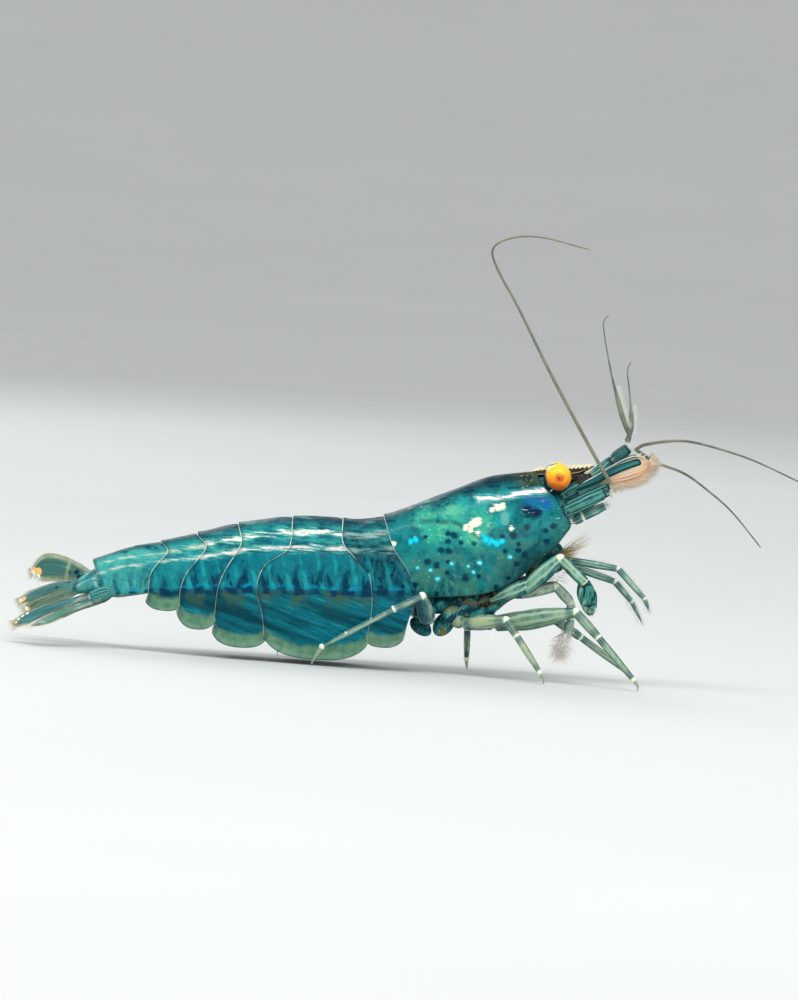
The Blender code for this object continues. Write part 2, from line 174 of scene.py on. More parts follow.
def rings_of(node):
    """Corners of the rings a CAD limb was lofted through, in mm, from its end nearest the trunk."""
    mesh = bmesh.new()
    mesh.from_mesh(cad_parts[node].data)
    bmesh.ops.remove_doubles(mesh, verts=mesh.verts, dist=WELD)
    mesh.normal_update()
    found, worst = None, UNEVEN
    # From a true end, ring after ring reaches the whole mesh, and all rings have as many corners.
    for outline in cap_corners(mesh):
        rings, seen = [outline], set(outline)
        while rings[-1]:
            after = {edge.other_vert(v) for v in rings[-1] for edge in v.link_edges} - seen
            rings.append(after)
            seen |= after
        rings.pop()
        uneven = sum(abs(len(outline) - len(ring)) for ring in rings)
        if uneven < worst and len(seen) == len(mesh.verts):
            worst = uneven
            found = [in_order(ring) for ring in rings]
    mesh.free()
    middle = sum(box_of("carapace")) / 2
    away = [np.linalg.norm(ring.mean(0) - middle) for ring in (found[0], found[-1])]
    return found if away[0] <= away[1] else found[::-1]


def middle_line(node):
    """Middle line of a CAD limb, in mm."""
    return np.array([ring.mean(0) for ring in rings_of(node)])


def knuckles(node, extra=1):
    """Joints of a bent CAD limb, whose every corner was cut in two; extra rings follow the last."""
    line = middle_line(node)
    inner = line[1:-extra]
    return np.vstack((line[:1], (inner[0::2] + inner[1::2]) / 2, line[-extra:]))


def blade_line(node):
    """Middle line, width and flat direction of a leaf-like CAD limb, in mm."""
    widths, ways = [], []
    for ring in rings_of(node):
        gaps = ring[:, None] - ring[None]
        lengths = np.linalg.norm(gaps, axis=2)
        i, j = np.unravel_index(lengths.round(6).argmax(), lengths.shape)
        way = gaps[i, j] / lengths[i, j]
        if ways and way @ ways[-1] < 0:
            way = -way
        widths.append(lengths[i, j])
        ways.append(way)
    return middle_line(node), np.array(widths), np.array(ways)


# ---------------------------------------------------------------- meshes

class Shape:
    """Corners in mm, faces and one number a corner in each layer, which become one mesh."""

    UV_PATCH = 0.003  # how long each bristle is on the UV map
    BLUNT = 0.04  # a bristle's tip, as a share of its root

    def __init__(self):
        self.corners, self.faces, self.layers, self.count = [], [], {}, 0

    def add(self, places, faces, layers):
        """Adds corners, with faces that count from the first of them."""
        places = places.reshape(-1, 3)
        for name, value in layers.items():
            self.layers.setdefault(name, [np.zeros(self.count)]).append(value.reshape(-1))
        for name, parts in self.layers.items():
            if name not in layers:
                parts.append(np.zeros(len(places)))
        self.corners.append(places)
        self.faces += (faces + self.count).tolist()
        self.count += len(places)

    def grid(self, places, wrap=False, caps=False, **layers):
        """A sheet of rows and columns; wrap closes each row, and caps closes the two ends."""
        rows, columns = places.shape[:2]
        index = np.arange(rows * columns).reshape(rows, columns)
        sheet = np.hstack((index, index[:, :1])) if wrap else index
        quads = np.stack((sheet[:-1, :-1], sheet[:-1, 1:], sheet[1:, 1:], sheet[1:, :-1]), -1)
        full = {name: np.broadcast_to(np.asarray(value, float), (rows, columns))
                for name, value in layers.items()}
        self.add(places, quads.reshape(-1, 4), full)
        if caps:
            start = self.count - rows * columns
            self.faces += [(index[0, ::-1] + start).tolist(), (index[-1] + start).tolist()]

    def solid(self, places, **layers):
        """A closed body from rings."""
        self.grid(places, wrap=True, caps=True, **layers)

    def tufts(self, roots, ways, lengths, thick, spots):
        """Bristles: thin three-sided cones from the roots, each at its own UV spot."""
        count, rings, sides = len(roots), 4, 3
        ways = unit(ways)
        across = unit(np.cross(ways, ODD_WAY))
        other = np.cross(ways, across)
        share = np.linspace(0, 1, rings)[None, :, None]
        line = roots[:, None] + ways[:, None] * lengths[:, None, None] * share
        turn = np.arange(sides) * math.tau / sides
        circle = (across[:, None] * np.cos(turn)[None, :, None]
                  + other[:, None] * np.sin(turn)[None, :, None])
        size = thick * (1 + self.BLUNT - share)
        places = line[:, :, None] + circle[:, None] * size[..., None]
        index = np.arange(count * rings * sides).reshape(count, rings, sides)
        turned = np.roll(index, -1, axis=2)
        quads = np.stack((index[:, :-1], turned[:, :-1], turned[:, 1:], index[:, 1:]), -1)
        full = np.ones((1, rings, sides))
        self.add(places, quads.reshape(-1, 4), {
            "u": spots[:, 0, None, None] + self.UV_PATCH * share * full,
            "v": spots[:, 1, None, None] + self.UV_PATCH / sides * np.arange(sides) * full,
            "tip": np.broadcast_to(share, (count, rings, sides))})

    def make(self, name, material, slot, replaces=(), depth=0.0):
        """The finished piece: a smooth mesh that rides on the body, with its material."""
        mesh = bpy.data.meshes.new(name)
        mesh.from_pydata((np.vstack(self.corners) * MM).tolist(), [], self.faces)
        for layer, parts in self.layers.items():
            if layer not in ("u", "v"):
                made = mesh.attributes.new(layer, "FLOAT", "POINT")
                made.data.foreach_set("value", np.concatenate(parts).astype(np.float32))
        if "u" in self.layers:
            loops = np.zeros(len(mesh.loops), np.int32)
            mesh.loops.foreach_get("vertex_index", loops)
            flat = np.stack([np.concatenate(self.layers[k])[loops] for k in ("u", "v")], 1)
            mesh.uv_layers.new(name="OFBake").data.foreach_set("uv", flat.ravel())
        mesh.validate()
        mesh.shade_smooth()
        piece = bpy.data.objects.new(name, mesh)
        bpy.context.scene.collection.objects.link(piece)
        mesh.materials.append(material)
        if depth:
            wall = piece.modifiers.new("wall", "SOLIDIFY")
            wall.thickness = depth * MM
            wall.offset = -1
        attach(piece, "root")
        if replaces:
            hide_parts(*replaces)


def faces_out(places):
    """Which way a sheet faces at each of its places."""
    down = np.gradient(places, axis=0)
    across = np.gradient(places, axis=1)
    return unit(np.cross(across, down))


def tube(line, radii, sides, flat=1.0, wave=1.0):
    """Places round a line: rows along it, columns round it; flat squeezes it sideways."""
    along = unit(np.gradient(line, axis=0))
    up = unit((0, 0, 1) - along * along[:, 2:])
    side = np.cross(along, up)
    turn = np.arange(sides) * -math.tau / sides
    radii = radii[:, None] * wave
    ring = (side[:, None] * (np.cos(turn) * radii * flat)[..., None]
            + up[:, None] * (np.sin(turn) * radii)[..., None])
    return line[:, None] + ring


# ---------------------------------------------------------------- materials

class Paint:
    """A procedural material whose nodes are made and linked by short calls.

    Where a number is due, a name stands for that layer of the mesh and a tuple for a soft step.
    """

    def __init__(self, name, roughness=0.3, film=0.12, gloss=0.06):
        self.material = bpy.data.materials.new(name)
        self.material.use_nodes = True
        self.tree = self.material.node_tree
        self.colour, self.layers = None, {}
        found = self.node("TexCoord").outputs["Object"]
        self.spot = self.node("VectorMath", {0: found, "Scale": 1 / MM}, operation="SCALE").outputs[0]
        self.set(Roughness=roughness, IOR=1.42)
        if film:
            self.set(Coat_Weight=film, Coat_Roughness=gloss, Coat_IOR=1.4, Specular_IOR_Level=0.04)

    def put(self, socket, value):
        """Links a socket to another, or sets it."""
        if isinstance(value, str):
            value = self.layer(value)
        elif isinstance(value, tuple) and socket.type == "VALUE":
            value = self.step(*value)
        if isinstance(value, bpy.types.NodeSocket):
            self.tree.links.new(value, socket)
        else:
            socket.default_value = (*value, 1) if socket.type == "RGBA" else value

    def set(self, **sockets):
        """Sets the shader's sockets."""
        for name, value in sockets.items():
            self.put(self.tree.nodes["Principled BSDF"].inputs[name.replace("_", " ")], value)

    def node(self, kind, inputs=None, **settings):
        """A new node with its settings and inputs."""
        made = self.tree.nodes.new("ShaderNode" + kind)
        for key, value in settings.items():
            setattr(made, key, value)
        for key, value in (inputs or {}).items():
            self.put(made.inputs[key], value)
        return made

    def layer(self, name):
        """One of the mesh's layers."""
        if name not in self.layers:
            self.layers[name] = self.node("Attribute", attribute_name=name).outputs["Fac"]
        return self.layers[name]

    def place(self, at):
        """Place on the object in mm, stretched, or the socket that is given instead."""
        if isinstance(at, tuple):
            return self.node("VectorMath", {0: self.spot, 1: at}, operation="MULTIPLY").outputs[0]
        return self.spot if at is None else at

    def split(self):
        """The three numbers of the place on the object."""
        return self.node("SeparateXYZ", {0: self.spot}).outputs

    def axes(self, x=0.0, y=0.0, z=0.0):
        """A vector from three numbers."""
        return self.node("CombineXYZ", {0: x, 1: y, 2: z}).outputs[0]

    def noise(self, scale, at=None, detail=3.0, roughness=0.55, distortion=0.0):
        """Soft noise, about 0 to 1."""
        return self.node("TexNoise", {"Vector": self.place(at), "Scale": scale, "Detail": detail,
                                      "Roughness": roughness, "Distortion": distortion}).outputs["Fac"]

    def cells(self, scale, at=None, random=1.0):
        """Distance to the nearest of many scattered points."""
        return self.node("TexVoronoi", {"Vector": self.place(at), "Scale": scale,
                                        "Randomness": random}).outputs["Distance"]

    def calc(self, operation, *values):
        """A function of numbers."""
        return self.node("Math", dict(enumerate(values)), operation=operation).outputs[0]

    def plus(self, first, second, factor=1.0):
        """The first number and factor times the second."""
        return self.calc("MULTIPLY_ADD", second, factor, first)

    def times(self, *values):
        """Product of several numbers."""
        made = values[0]
        for value in values[1:]:
            made = self.calc("MULTIPLY", made, value)
        return made

    def step(self, value, low, high, start=0.0, end=1.0):
        """A soft step from start at low to end at high."""
        return self.node("MapRange", {"Value": value, "From Min": low, "From Max": high,
                                      "To Min": start, "To Max": end},
                         interpolation_type="SMOOTHSTEP").outputs[0]

    def over(self, below, above, *shares):
        """One colour laid over another where the product of the shares is 1."""
        made = self.node("Mix", data_type="RGBA")
        for index, value in ((0, self.times(*shares)), (6, below), (7, above)):
            self.put(made.inputs[index], value)
        return made.outputs[2]

    def ground(self, dark, light, *shares):
        """Starts the colour."""
        self.colour = self.over(dark, light, *shares)

    def lay(self, tone, *shares):
        """Lays a tone over the colour."""
        self.colour = self.over(self.colour, tone, *shares)

    def glass_painted_light(self, pale=(0.4, 0.56, 0.38), deep=(0.003, 0.045, 0.055), weight=0.8):
        """A clear limb's look, painted light: painted shade along its upper and lower outlines and a
        painted highlight line down its sides.
        """
        side = self.calc("ABSOLUTE", self.plus(-1.0, "around", 2.0))
        side = self.plus(side, self.noise(1.6, self.axes("along", side, 5.0)), 0.5)
        # Painted shade on the upper and lower outlines, where the limb turns away from the side view.
        self.lay(deep, (side, 0.66, 0.36), weight)
        # Painted highlight: a bright line down the side that faces out.
        self.lay(pale, (side, 0.9, 1.02), (side, 1.3, 1.12), weight)

    def finish(self, *bumps, **sockets):
        """Sets (height, distance in mm) bumps, the colour and other sockets; gives the material."""
        for height, distance in bumps:
            bump = {"Height": height, "Distance": distance * MM}
            if "Normal" in sockets:
                bump["Normal"] = sockets["Normal"]
            sockets["Normal"] = self.node("Bump", bump).outputs[0]
        self.set(Base_Color=self.colour, **sockets)
        return self.material


INK = (0.001, 0.012, 0.03)
PEARL = (0.8, 0.86, 0.74)
BONE = (0.72, 0.78, 0.6)
OLIVE = (0.14, 0.16, 0.06)


def shell_ground(paint, dark, light):
    """Colour that all shells share: mottled between two tones, flecked, dark along the back."""
    broad = paint.noise(0.8, detail=6, roughness=0.65)
    fine = paint.noise(5.0, detail=4)
    paint.ground(dark, light, (broad, 0.36, 0.62))
    paint.lay((0.006, 0.26, 0.3), (fine, 0.5, 0.75), 0.6)
    freckles = paint.cells(5.5)
    paint.lay((0.001, 0.03, 0.06), (freckles, 0.22, 0.12), (broad, 0.55, 0.45))
    sparkle = paint.cells(8.0, at=(1, 1, 1.6))
    paint.lay((0.03, 0.42, 0.44), (sparkle, 0.16, 0.08), 0.6)
    back = paint.step(paint.plus("up", broad, 0.16), 0.86, 1.0)
    paint.lay((0.002, 0.035, 0.05), back, 0.9)
    mottle = paint.noise(2.0, at=(0.5, 1, 1.5), detail=5)
    paint.lay((0.0, 0.018, 0.06), ("up", 0.7, 0.84), (mottle, 0.44, 0.36), 0.8)
    paint.lay((0.06, 0.3, 0.24), back, (mottle, 0.56, 0.66), 0.75)


ABDOMEN_TONES = {1: ((0.001, 0.03, 0.05), (0.002, 0.09, 0.12)),
                 2: ((0.001, 0.075, 0.11), (0.004, 0.16, 0.2)),
                 3: ((0.001, 0.085, 0.12), (0.004, 0.18, 0.22)),
                 4: ((0.001, 0.065, 0.09), (0.003, 0.15, 0.18)),
                 5: ((0.003, 0.12, 0.15), (0.015, 0.25, 0.26)),
                 6: ((0.01, 0.2, 0.22), (0.08, 0.42, 0.36))}


def abdomen_paint(name, number):
    """Shell of an abdomen ring, with the muscle under it showing as bands and fibres, painted highlights
    on its upper flank and painted shade by its rear border.
    """
    paint = Paint(name, roughness=0.3)
    x, _, z = paint.split()
    shell_ground(paint, *ABDOMEN_TONES[number])
    broad = paint.noise(0.9)
    tail_end = {1: 0.6, 5: 0.55, 6: 0.55}.get(number, 1.0)

    # Upright muscle bands over the flank, leaning and wedge-shaped.
    leaning = paint.plus(paint.plus(x, broad, 0.8), z, -0.22)
    flank = paint.times(("above", -0.05, 0.2), ("above", 2.3, 1.4), tail_end)
    thin = paint.axes(leaning, 0.0, paint.times(z, 0.1))
    threads = paint.noise(5.0, at=thin)
    paint.lay((0.003, 0.18, 0.24), flank, (threads, 0.42, 0.6), 0.75)
    ragged = paint.plus(paint.times(leaning, 5.0), threads, 1.6)
    tall = paint.plus(paint.calc("SINE", ragged), "above", -0.5)
    paint.lay((0.0, 0.035, 0.08), flank, (tall, 0.05, 0.75), (broad, 0.36, 0.54), 0.92)
    wedge = paint.plus(paint.plus(x, broad, 0.5), z, 0.3)
    comb = paint.calc("SINE", paint.times(wedge, 7.4))
    sharp = paint.plus(comb, "above", -0.75)
    paint.lay((0.0, 0.025, 0.065), flank, (sharp, 0.2, 0.45), (threads, 0.36, 0.5), 0.85)
    lit = paint.plus(paint.times(comb, -1.0), "above", -0.3)
    paint.lay((0.012, 0.34, 0.37), flank, (lit, 0.1, 0.8), (broad, 0.62, 0.46), 0.8)

    # Slanting bundles of the swimming legs' muscles, below it.
    slant = paint.plus(z, x, 0.3)
    run = paint.times(x, 0.12)
    bundles = paint.noise(1.3, at=paint.axes(slant, run, 0.0), detail=2)
    fibres = paint.noise(7.0, at=paint.axes(slant, run, 0.0), detail=4)
    below = paint.step("above", 0.1, -0.08)
    muscle = paint.over((0.0, 0.045, 0.065), (0.001, 0.13, 0.17), (bundles, 0.36, 0.6))
    muscle = paint.over(muscle, (0.01, 0.26, 0.3), (fibres, 0.52, 0.66), (bundles, 0.42, 0.62), 0.8)
    muscle = paint.over(muscle, (0.0, 0.035, 0.055), (fibres, 0.44, 0.34), 0.6)
    gaps = paint.noise(1.0, at=paint.axes(x, 0.0, paint.times(z, 0.7)), detail=2)
    muscle = paint.over(muscle, (0.04, 0.1, 0.06), (gaps, 0.46, 0.6), ("above", -1.1, -0.2), 0.85)
    glow = paint.noise(0.7, at=paint.axes(slant, run, 4.0))
    muscle = paint.over(muscle, (0.005, 0.2, 0.3), (glow, 0.55, 0.7), (fibres, 0.4, 0.55), 0.8)
    paint.lay(muscle, below)

    # Dark line along the bottom of the muscle, with a bright blue one on it.
    wavy = paint.plus("above", paint.noise(1.3, detail=2), 0.5)
    dark = paint.times((wavy, 0.0, 0.14), (wavy, 0.46, 0.34))
    blue = paint.times((wavy, 0.36, 0.44), (wavy, 0.62, 0.5))
    patchy = paint.step(paint.noise(1.6, detail=4), 0.42, 0.6)
    paint.lay((0.0, 0.03, 0.08), dark, (paint.plus(paint.noise(0.9), comb, 0.16), 0.36, 0.6,
                                        0.15, 0.95))
    paint.lay((0.0, 0.24, 0.4), blue, patchy, 0.85)
    if number == 1:
        clustered = paint.times(("front", -1.6, -0.9), ("above", 0.0, 0.3), ("above", 2.2, 1.8),
                                ("rear", 0.3, 0.6))
        blots = paint.cells(3.0, random=0.8)
        paint.lay((0.0, 0.012, 0.04), clustered, (blots, 0.34, 0.24), 0.9)

    # Two rows of painted highlights on the upper flank, rosy white glints with a paler painted glow round
    # them, in sea-green clouds.
    glare = {1: 0.25, 5: 0.75, 6: 0.6}.get(number, 1.0)
    soft = paint.noise(1.7, at=(0.5, 0.6, 2.2), detail=6, roughness=0.7)
    shoulder = paint.times(("up", 0.5, 0.6), ("up", 0.88, 0.76))
    paint.lay((0.05, 0.4, 0.33), shoulder, (soft, 0.42, 0.6), 0.2 + 0.4 * glare)
    hairs = paint.noise(4.5, at=(0.22, 0.5, 2.2), detail=5, roughness=0.65)
    upper_tone = (0.86, 0.84, 0.74) if number < 5 else (0.66, 0.58, 0.4)
    for height, pull, tone in ((0.715, 5.0, upper_tone), (0.585, 6.0, (0.8, 0.66, 0.66))):
        off = paint.calc("ABSOLUTE", paint.calc("SUBTRACT", "up", height))
        bright = paint.plus(paint.plus(hairs, soft, 0.8), off, -pull)
        paint.lay((0.16, 0.52, 0.44), (bright, 0.66, 0.86), 0.65 * glare)
        paint.lay(tone, (bright, 0.8, 0.95), 0.95 * glare)

    # Clear lower margin, thin dark outline, painted shade near the rear border, pale line at the border.
    wobble = paint.plus("low", paint.noise(0.9, detail=2), 0.5)
    margin = paint.times((wobble, 1.02, 0.76), below)
    haze = paint.noise(2.6, detail=5)
    clear = paint.over((0.07, 0.21, 0.13), (0.15, 0.31, 0.19), (haze, 0.3, 0.7))
    paint.lay(clear, margin)
    paint.lay((0.015, 0.08, 0.06), ("low", 0.05, 0.03), 0.85)
    # Painted shade near the rear border, between this ring and the next.
    shade = paint.times(("rear", 0.3, 0.05), 0.55)
    paint.lay((0.001, 0.04, 0.06), shade)
    line = paint.step("rear", 0.035, 0.02)
    if number == 1:
        line = paint.times(line, ("above", 1.4, 2.0))
    if number == 2:
        line = paint.calc("MAXIMUM", line, paint.times(("front", 0.035, 0.02), ("above", 2.0, 1.4)))
    line = paint.times(line, ("above", -0.4, 1.6, 0.3, 1.0),
                       (paint.noise(1.8), 0.34, 0.54, 0.25, 0.95))
    if number == 6:
        line = paint.times(line, 0.2)
    paint.lay((0.82, 0.9, 0.76), line)
    alpha = paint.calc("SUBTRACT", 1.0, paint.times(margin, 0.25))
    pits = paint.cells(7.0)
    swell = paint.noise(1.3, detail=4)
    return paint.finish((swell, 0.16), (pits, 0.008), Alpha=alpha)


def carapace_paint():
    """Shell of the head and trunk: marbled green and turquoise, dotted dark and cyan, with a painted
    highlight streak and painted glints.
    """
    paint = Paint("carapace_shell", roughness=0.28)
    shell_ground(paint, (0.003, 0.105, 0.12), (0.01, 0.23, 0.23))
    murk = paint.noise(1.3, detail=6, roughness=0.65)
    veins = paint.noise(2.0, detail=6, roughness=0.7, distortion=1.0)
    lower = paint.step("up", 0.6, 0.45)
    paint.lay((0.05, 0.22, 0.17), lower, (murk, 0.42, 0.6), 0.85)
    paint.lay((0.2, 0.27, 0.2), lower, (veins, 0.56, 0.68), 0.7)
    gills = paint.noise(3.0, at=(1.3, 0.5, 0.22), detail=4)
    paint.lay((0.07, 0.33, 0.29), ("up", 0.4, 0.24), (gills, 0.52, 0.66), 0.8)
    paint.lay((0.004, 0.08, 0.09), ("up", 0.4, 0.24), (gills, 0.44, 0.34), 0.7)
    rosy = paint.noise(7.0, at=(0.7, 1, 1))
    paint.lay((0.4, 0.14, 0.14), lower, (rosy, 0.68, 0.74), 0.6)
    forward = paint.times(("front", 3.2, 0.6), ("up", 0.62, 0.3))
    paint.lay((0.006, 0.06, 0.075), forward, 0.7)

    # Marbled clouds on the flank, from sea green through leaf green to cream.
    cloud = paint.plus("turquoise", veins, 1.4)
    paint.lay((0.012, 0.34, 0.32), (cloud, 1.15, 1.8), 0.85)
    cloud = paint.plus("green", murk, 1.3)
    paint.lay((0.03, 0.36, 0.25), (cloud, 0.85, 1.35), 0.9)
    green = paint.step("green", 0.15, 0.6)
    paint.lay((0.1, 0.46, 0.28), green, (veins, 0.5, 0.62), 0.7)
    paint.lay((0.006, 0.19, 0.2), green, (veins, 0.44, 0.34), 0.75)
    paint.lay((0.4, 0.6, 0.44), green, (paint.noise(4.0, detail=4), 0.62, 0.7), 0.6)

    # Cobalt and ink behind the eye.
    flowing = paint.noise(2.2, at=(0.5, 1, 2.2), detail=6, roughness=0.75)
    blot = paint.plus("cobalt", flowing, 2.4)
    paint.lay((0.002, 0.11, 0.32), (blot, 1.5, 2.2), ("cobalt", 0.1, 0.4), 0.95)
    paint.lay((0.3, 0.4, 0.75), ("cobalt", 0.35, 0.7), (flowing, 0.58, 0.66), 0.8)
    blot = paint.plus("navy", flowing, 1.8)
    paint.lay((0.0, 0.01, 0.045), (blot, 1.3, 1.75), 0.95)
    blot = paint.plus("cyan", paint.noise(3.5, detail=5), 1.3)
    paint.lay((0.002, 0.36, 0.46), (blot, 1.0, 1.25))
    paint.lay((0.004, 0.62, 0.78), (blot, 1.27, 1.4))

    wobble = paint.plus("dots", paint.noise(5.0), 1.3)
    paint.lay((0.0, 0.025, 0.06), (wobble, 1.9, 1.2), 0.9)
    wobble = paint.plus("sparks", paint.noise(6.0), 0.8)
    paint.lay((0.01, 0.4, 0.5), (wobble, 1.7, 1.0), 0.5)
    paint.lay((0.14, 0.78, 0.85), (wobble, 1.05, 0.9))
    pin = paint.cells(2.6)
    paint.lay((0.16, 0.7, 0.74), lower, (pin, 0.11, 0.06), (murk, 0.44, 0.56))
    paint.lay((0.003, 0.055, 0.07), ("groove", 0.2, 0.02), (veins, 0.35, 0.55), 0.7)

    # Dark back towards the beak, and below it a broken rosy streak, a painted highlight over pale
    # reflective marks.
    top = paint.times(("up", 0.8, 0.9), ("front", 5.0, 2.0))
    paint.lay((0.006, 0.028, 0.032), top, 0.85)
    brow = paint.times(("up", 0.68, 0.76), ("front", 1.5, 0.8))
    brown = paint.over((0.01, 0.03, 0.03), (0.06, 0.08, 0.035), (murk, 0.42, 0.6))
    paint.lay(brown, brow, 0.9)
    paint.lay((0.6, 0.52, 0.2), brow, (paint.noise(6.0), 0.62, 0.68), 0.8)
    broken = paint.noise(1.6, at=(0.5, 0.6, 2.0), detail=6, roughness=0.75)
    hairs = paint.noise(4.5, at=(0.25, 0.5, 2.0), detail=5, roughness=0.65)
    # Painted highlight along the streak line: a teal glow, then rosy, then white.
    pale_joint_and_painted_streak = paint.plus(paint.plus(broken, hairs, 0.9), "streak", -2.2)
    paint.lay((0.05, 0.38, 0.38), (pale_joint_and_painted_streak, 0.3, 0.7), 0.8)
    paint.lay((0.72, 0.56, 0.54), (pale_joint_and_painted_streak, 0.66, 0.78))
    paint.lay((0.94, 0.9, 0.84), (pale_joint_and_painted_streak, 0.76, 0.86))
    shoulder = paint.times(("up", 0.5, 0.64), ("up", 0.86, 0.76))
    window = paint.plus("window", murk, 0.6)
    paint.lay((0.16, 0.42, 0.38), (window, 0.85, 1.05), 0.6)
    # Cream patches of pale flecks, partly painted glints.
    torn = paint.plus(paint.plus("cream", broken, 1.6), hairs, 1.8)
    patch = paint.step("cream", 0.0, 0.3)
    paint.lay((0.25, 0.52, 0.42), patch, (torn, 1.95, 2.2), 0.7)
    paint.lay((0.8, 0.76, 0.6), patch, (torn, 2.2, 2.34))
    # Painted glints on the shoulder.
    glint = paint.plus(broken, hairs, 0.8)
    paint.lay((0.78, 0.74, 0.7), shoulder, (glint, 1.07, 1.14), 0.85)

    line = paint.step("rear", 0.045, 0.03)
    rim = paint.calc("MAXIMUM", ("front", 0.09, 0.04), ("low", 0.07, 0.03))
    paint.lay((0.008, 0.07, 0.075), rim, 0.8)
    paint.lay((0.75, 0.78, 0.68), line, ("up", 0.2, 0.6, 0.3, 1.0))
    pits = paint.cells(7.0)
    swell = paint.noise(1.1, detail=4)
    return paint.finish((swell, 0.16), (pits, 0.008))


def flesh_paint():
    """Body under the shells."""
    paint = Paint("flesh", roughness=0.35, film=0.5)
    murk = paint.noise(1.4, detail=5)
    paint.ground((0.004, 0.07, 0.09), (0.02, 0.2, 0.19), (murk, 0.4, 0.65))
    spots = paint.cells(2.4)
    paint.lay(OLIVE, (spots, 0.3, 0.15), 0.6)
    return paint.finish((murk, 0.08))


def limb_paint(name, light, dark, clear=0.0, dotted=0.0):
    """Jointed limb: glassy, with painted shade on its outlines and a painted highlight down its sides,
    streaked along its length, white at the joints, dotted with white.
    """
    paint = Paint(name, roughness=0.26, film=0.6)
    run = paint.times("along", 0.6)
    streaks = paint.noise(1.0, at=paint.axes(run, paint.times("around", 6.0), 0.0), detail=4)
    threads = paint.noise(1.0, at=paint.axes(run, paint.times("around", 16.0), 3.0), detail=2)
    paint.ground(dark, light, (streaks, 0.4, 0.6))
    paint.lay((0.4, 0.58, 0.44), (threads, 0.58, 0.7), 0.6)
    paint.lay((0.003, 0.06, 0.075), (threads, 0.4, 0.3), (streaks, 0.6, 0.45), 0.7)
    blotches = paint.noise(2.0, detail=4)
    paint.lay((0.005, 0.1, 0.12), (blotches, 0.54, 0.66), 0.7)
    # Painted shade along the outlines and a painted highlight line down the sides.
    paint.glass_painted_light()
    flecks = paint.cells(6.0)
    paint.lay((0.5, 0.62, 0.48), (flecks, 0.18, 0.08), 0.7)
    beads = paint.cells(1.9)
    paint.lay(PEARL, (beads, 0.16, 0.1), dotted)
    tinge = paint.times(("joint", 0.7, 0.3), ("joint", 0.08, 0.2))
    paint.lay((0.004, 0.08, 0.11), tinge, 0.6)
    pale_joint_and_painted_streak = paint.plus("joint", blotches, 0.14)
    paint.lay((0.78, 0.84, 0.68), (pale_joint_and_painted_streak, 0.17, 0.1))
    paint.lay((0.3, 0.36, 0.24), "claw", 0.7)
    alpha = paint.calc("SUBTRACT", 1.0, paint.times(("joint", 0.15, 0.5), clear))
    return paint.finish((streaks, 0.04), (flecks, 0.006), Alpha=alpha)


def feeler_paint(name, pale, dark):
    """Feeler, ringed pale and dark."""
    paint = Paint(name, roughness=0.4, film=0)
    patches = paint.noise(0.8, at=paint.axes("along", 0.0, 0.0))
    paint.ground(dark, pale, (patches, 0.4, 0.6))
    paint.lay((0.5, 0.52, 0.38), ("bead", 0.5, 0.95), 0.35)
    paint.lay((0.03, 0.04, 0.03), ("bead", 0.2, 0.02), 0.3)
    return paint.finish()


def blade_paint(name, deep, ribbing=1.0, margin=0.14):
    """Tail or swimming blade: glassy green-blue with ribs, a clear margin and its layers' marks."""
    paint = Paint(name, roughness=0.25)
    ribs = paint.noise(1.0, at=paint.axes(paint.times("share", 1.6), paint.times("across", 4.5), 0.0))
    paint.ground((0.01, 0.06, 0.055), deep, (ribs, 0.38, 0.54, 1 - ribbing, 1.0))
    threads = paint.noise(1.0, at=paint.axes(paint.times("share", 2.4), paint.times("across", 12.0), 4.0))
    paint.lay((0.34, 0.5, 0.4), (threads, 0.57, 0.65), 0.8 * ribbing)
    paint.lay((0.006, 0.04, 0.045), (threads, 0.42, 0.34), 0.85 * ribbing)
    cloud = paint.noise(1.8, detail=4)
    root = paint.over((0.005, 0.16, 0.2), (0.06, 0.4, 0.38), (cloud, 0.4, 0.6))
    glints = paint.noise(3.4, at=(0.7, 0.7, 1.2), detail=4)
    root = paint.over(root, (0.76, 0.72, 0.68), (glints, 0.62, 0.68))
    root = paint.over(root, (0.001, 0.03, 0.05), (glints, 0.4, 0.34), 0.8)
    paint.lay(root, ("share", 0.45, 0.12), 0.85)
    clear = paint.over((0.16, 0.22, 0.12), (0.3, 0.36, 0.2), (cloud, 0.36, 0.6))
    paint.lay(clear, ("edge", margin * 1.3, margin * 0.7), 0.9)
    paint.lay((0.02, 0.06, 0.05), ("edge", 0.035, 0.015), 0.7)
    paint.lay(INK, ("dots", 1.2, 0.6))
    paint.lay((0.34, 0.42, 0.28), "seam", 0.7)
    amber = paint.step(paint.plus("amber", cloud, 0.7), 0.6, 0.95)
    white = paint.step(paint.plus("white", cloud, 0.7), 0.6, 0.95)
    paint.lay((0.9, 0.5, 0.14), amber)
    paint.lay(PEARL, white)
    alpha = paint.calc("MAXIMUM", paint.calc("MAXIMUM", amber, white), ("edge", 0.05, 0.3, 0.5, 0.92))
    return paint.finish((ribs, 0.05), Alpha=alpha)


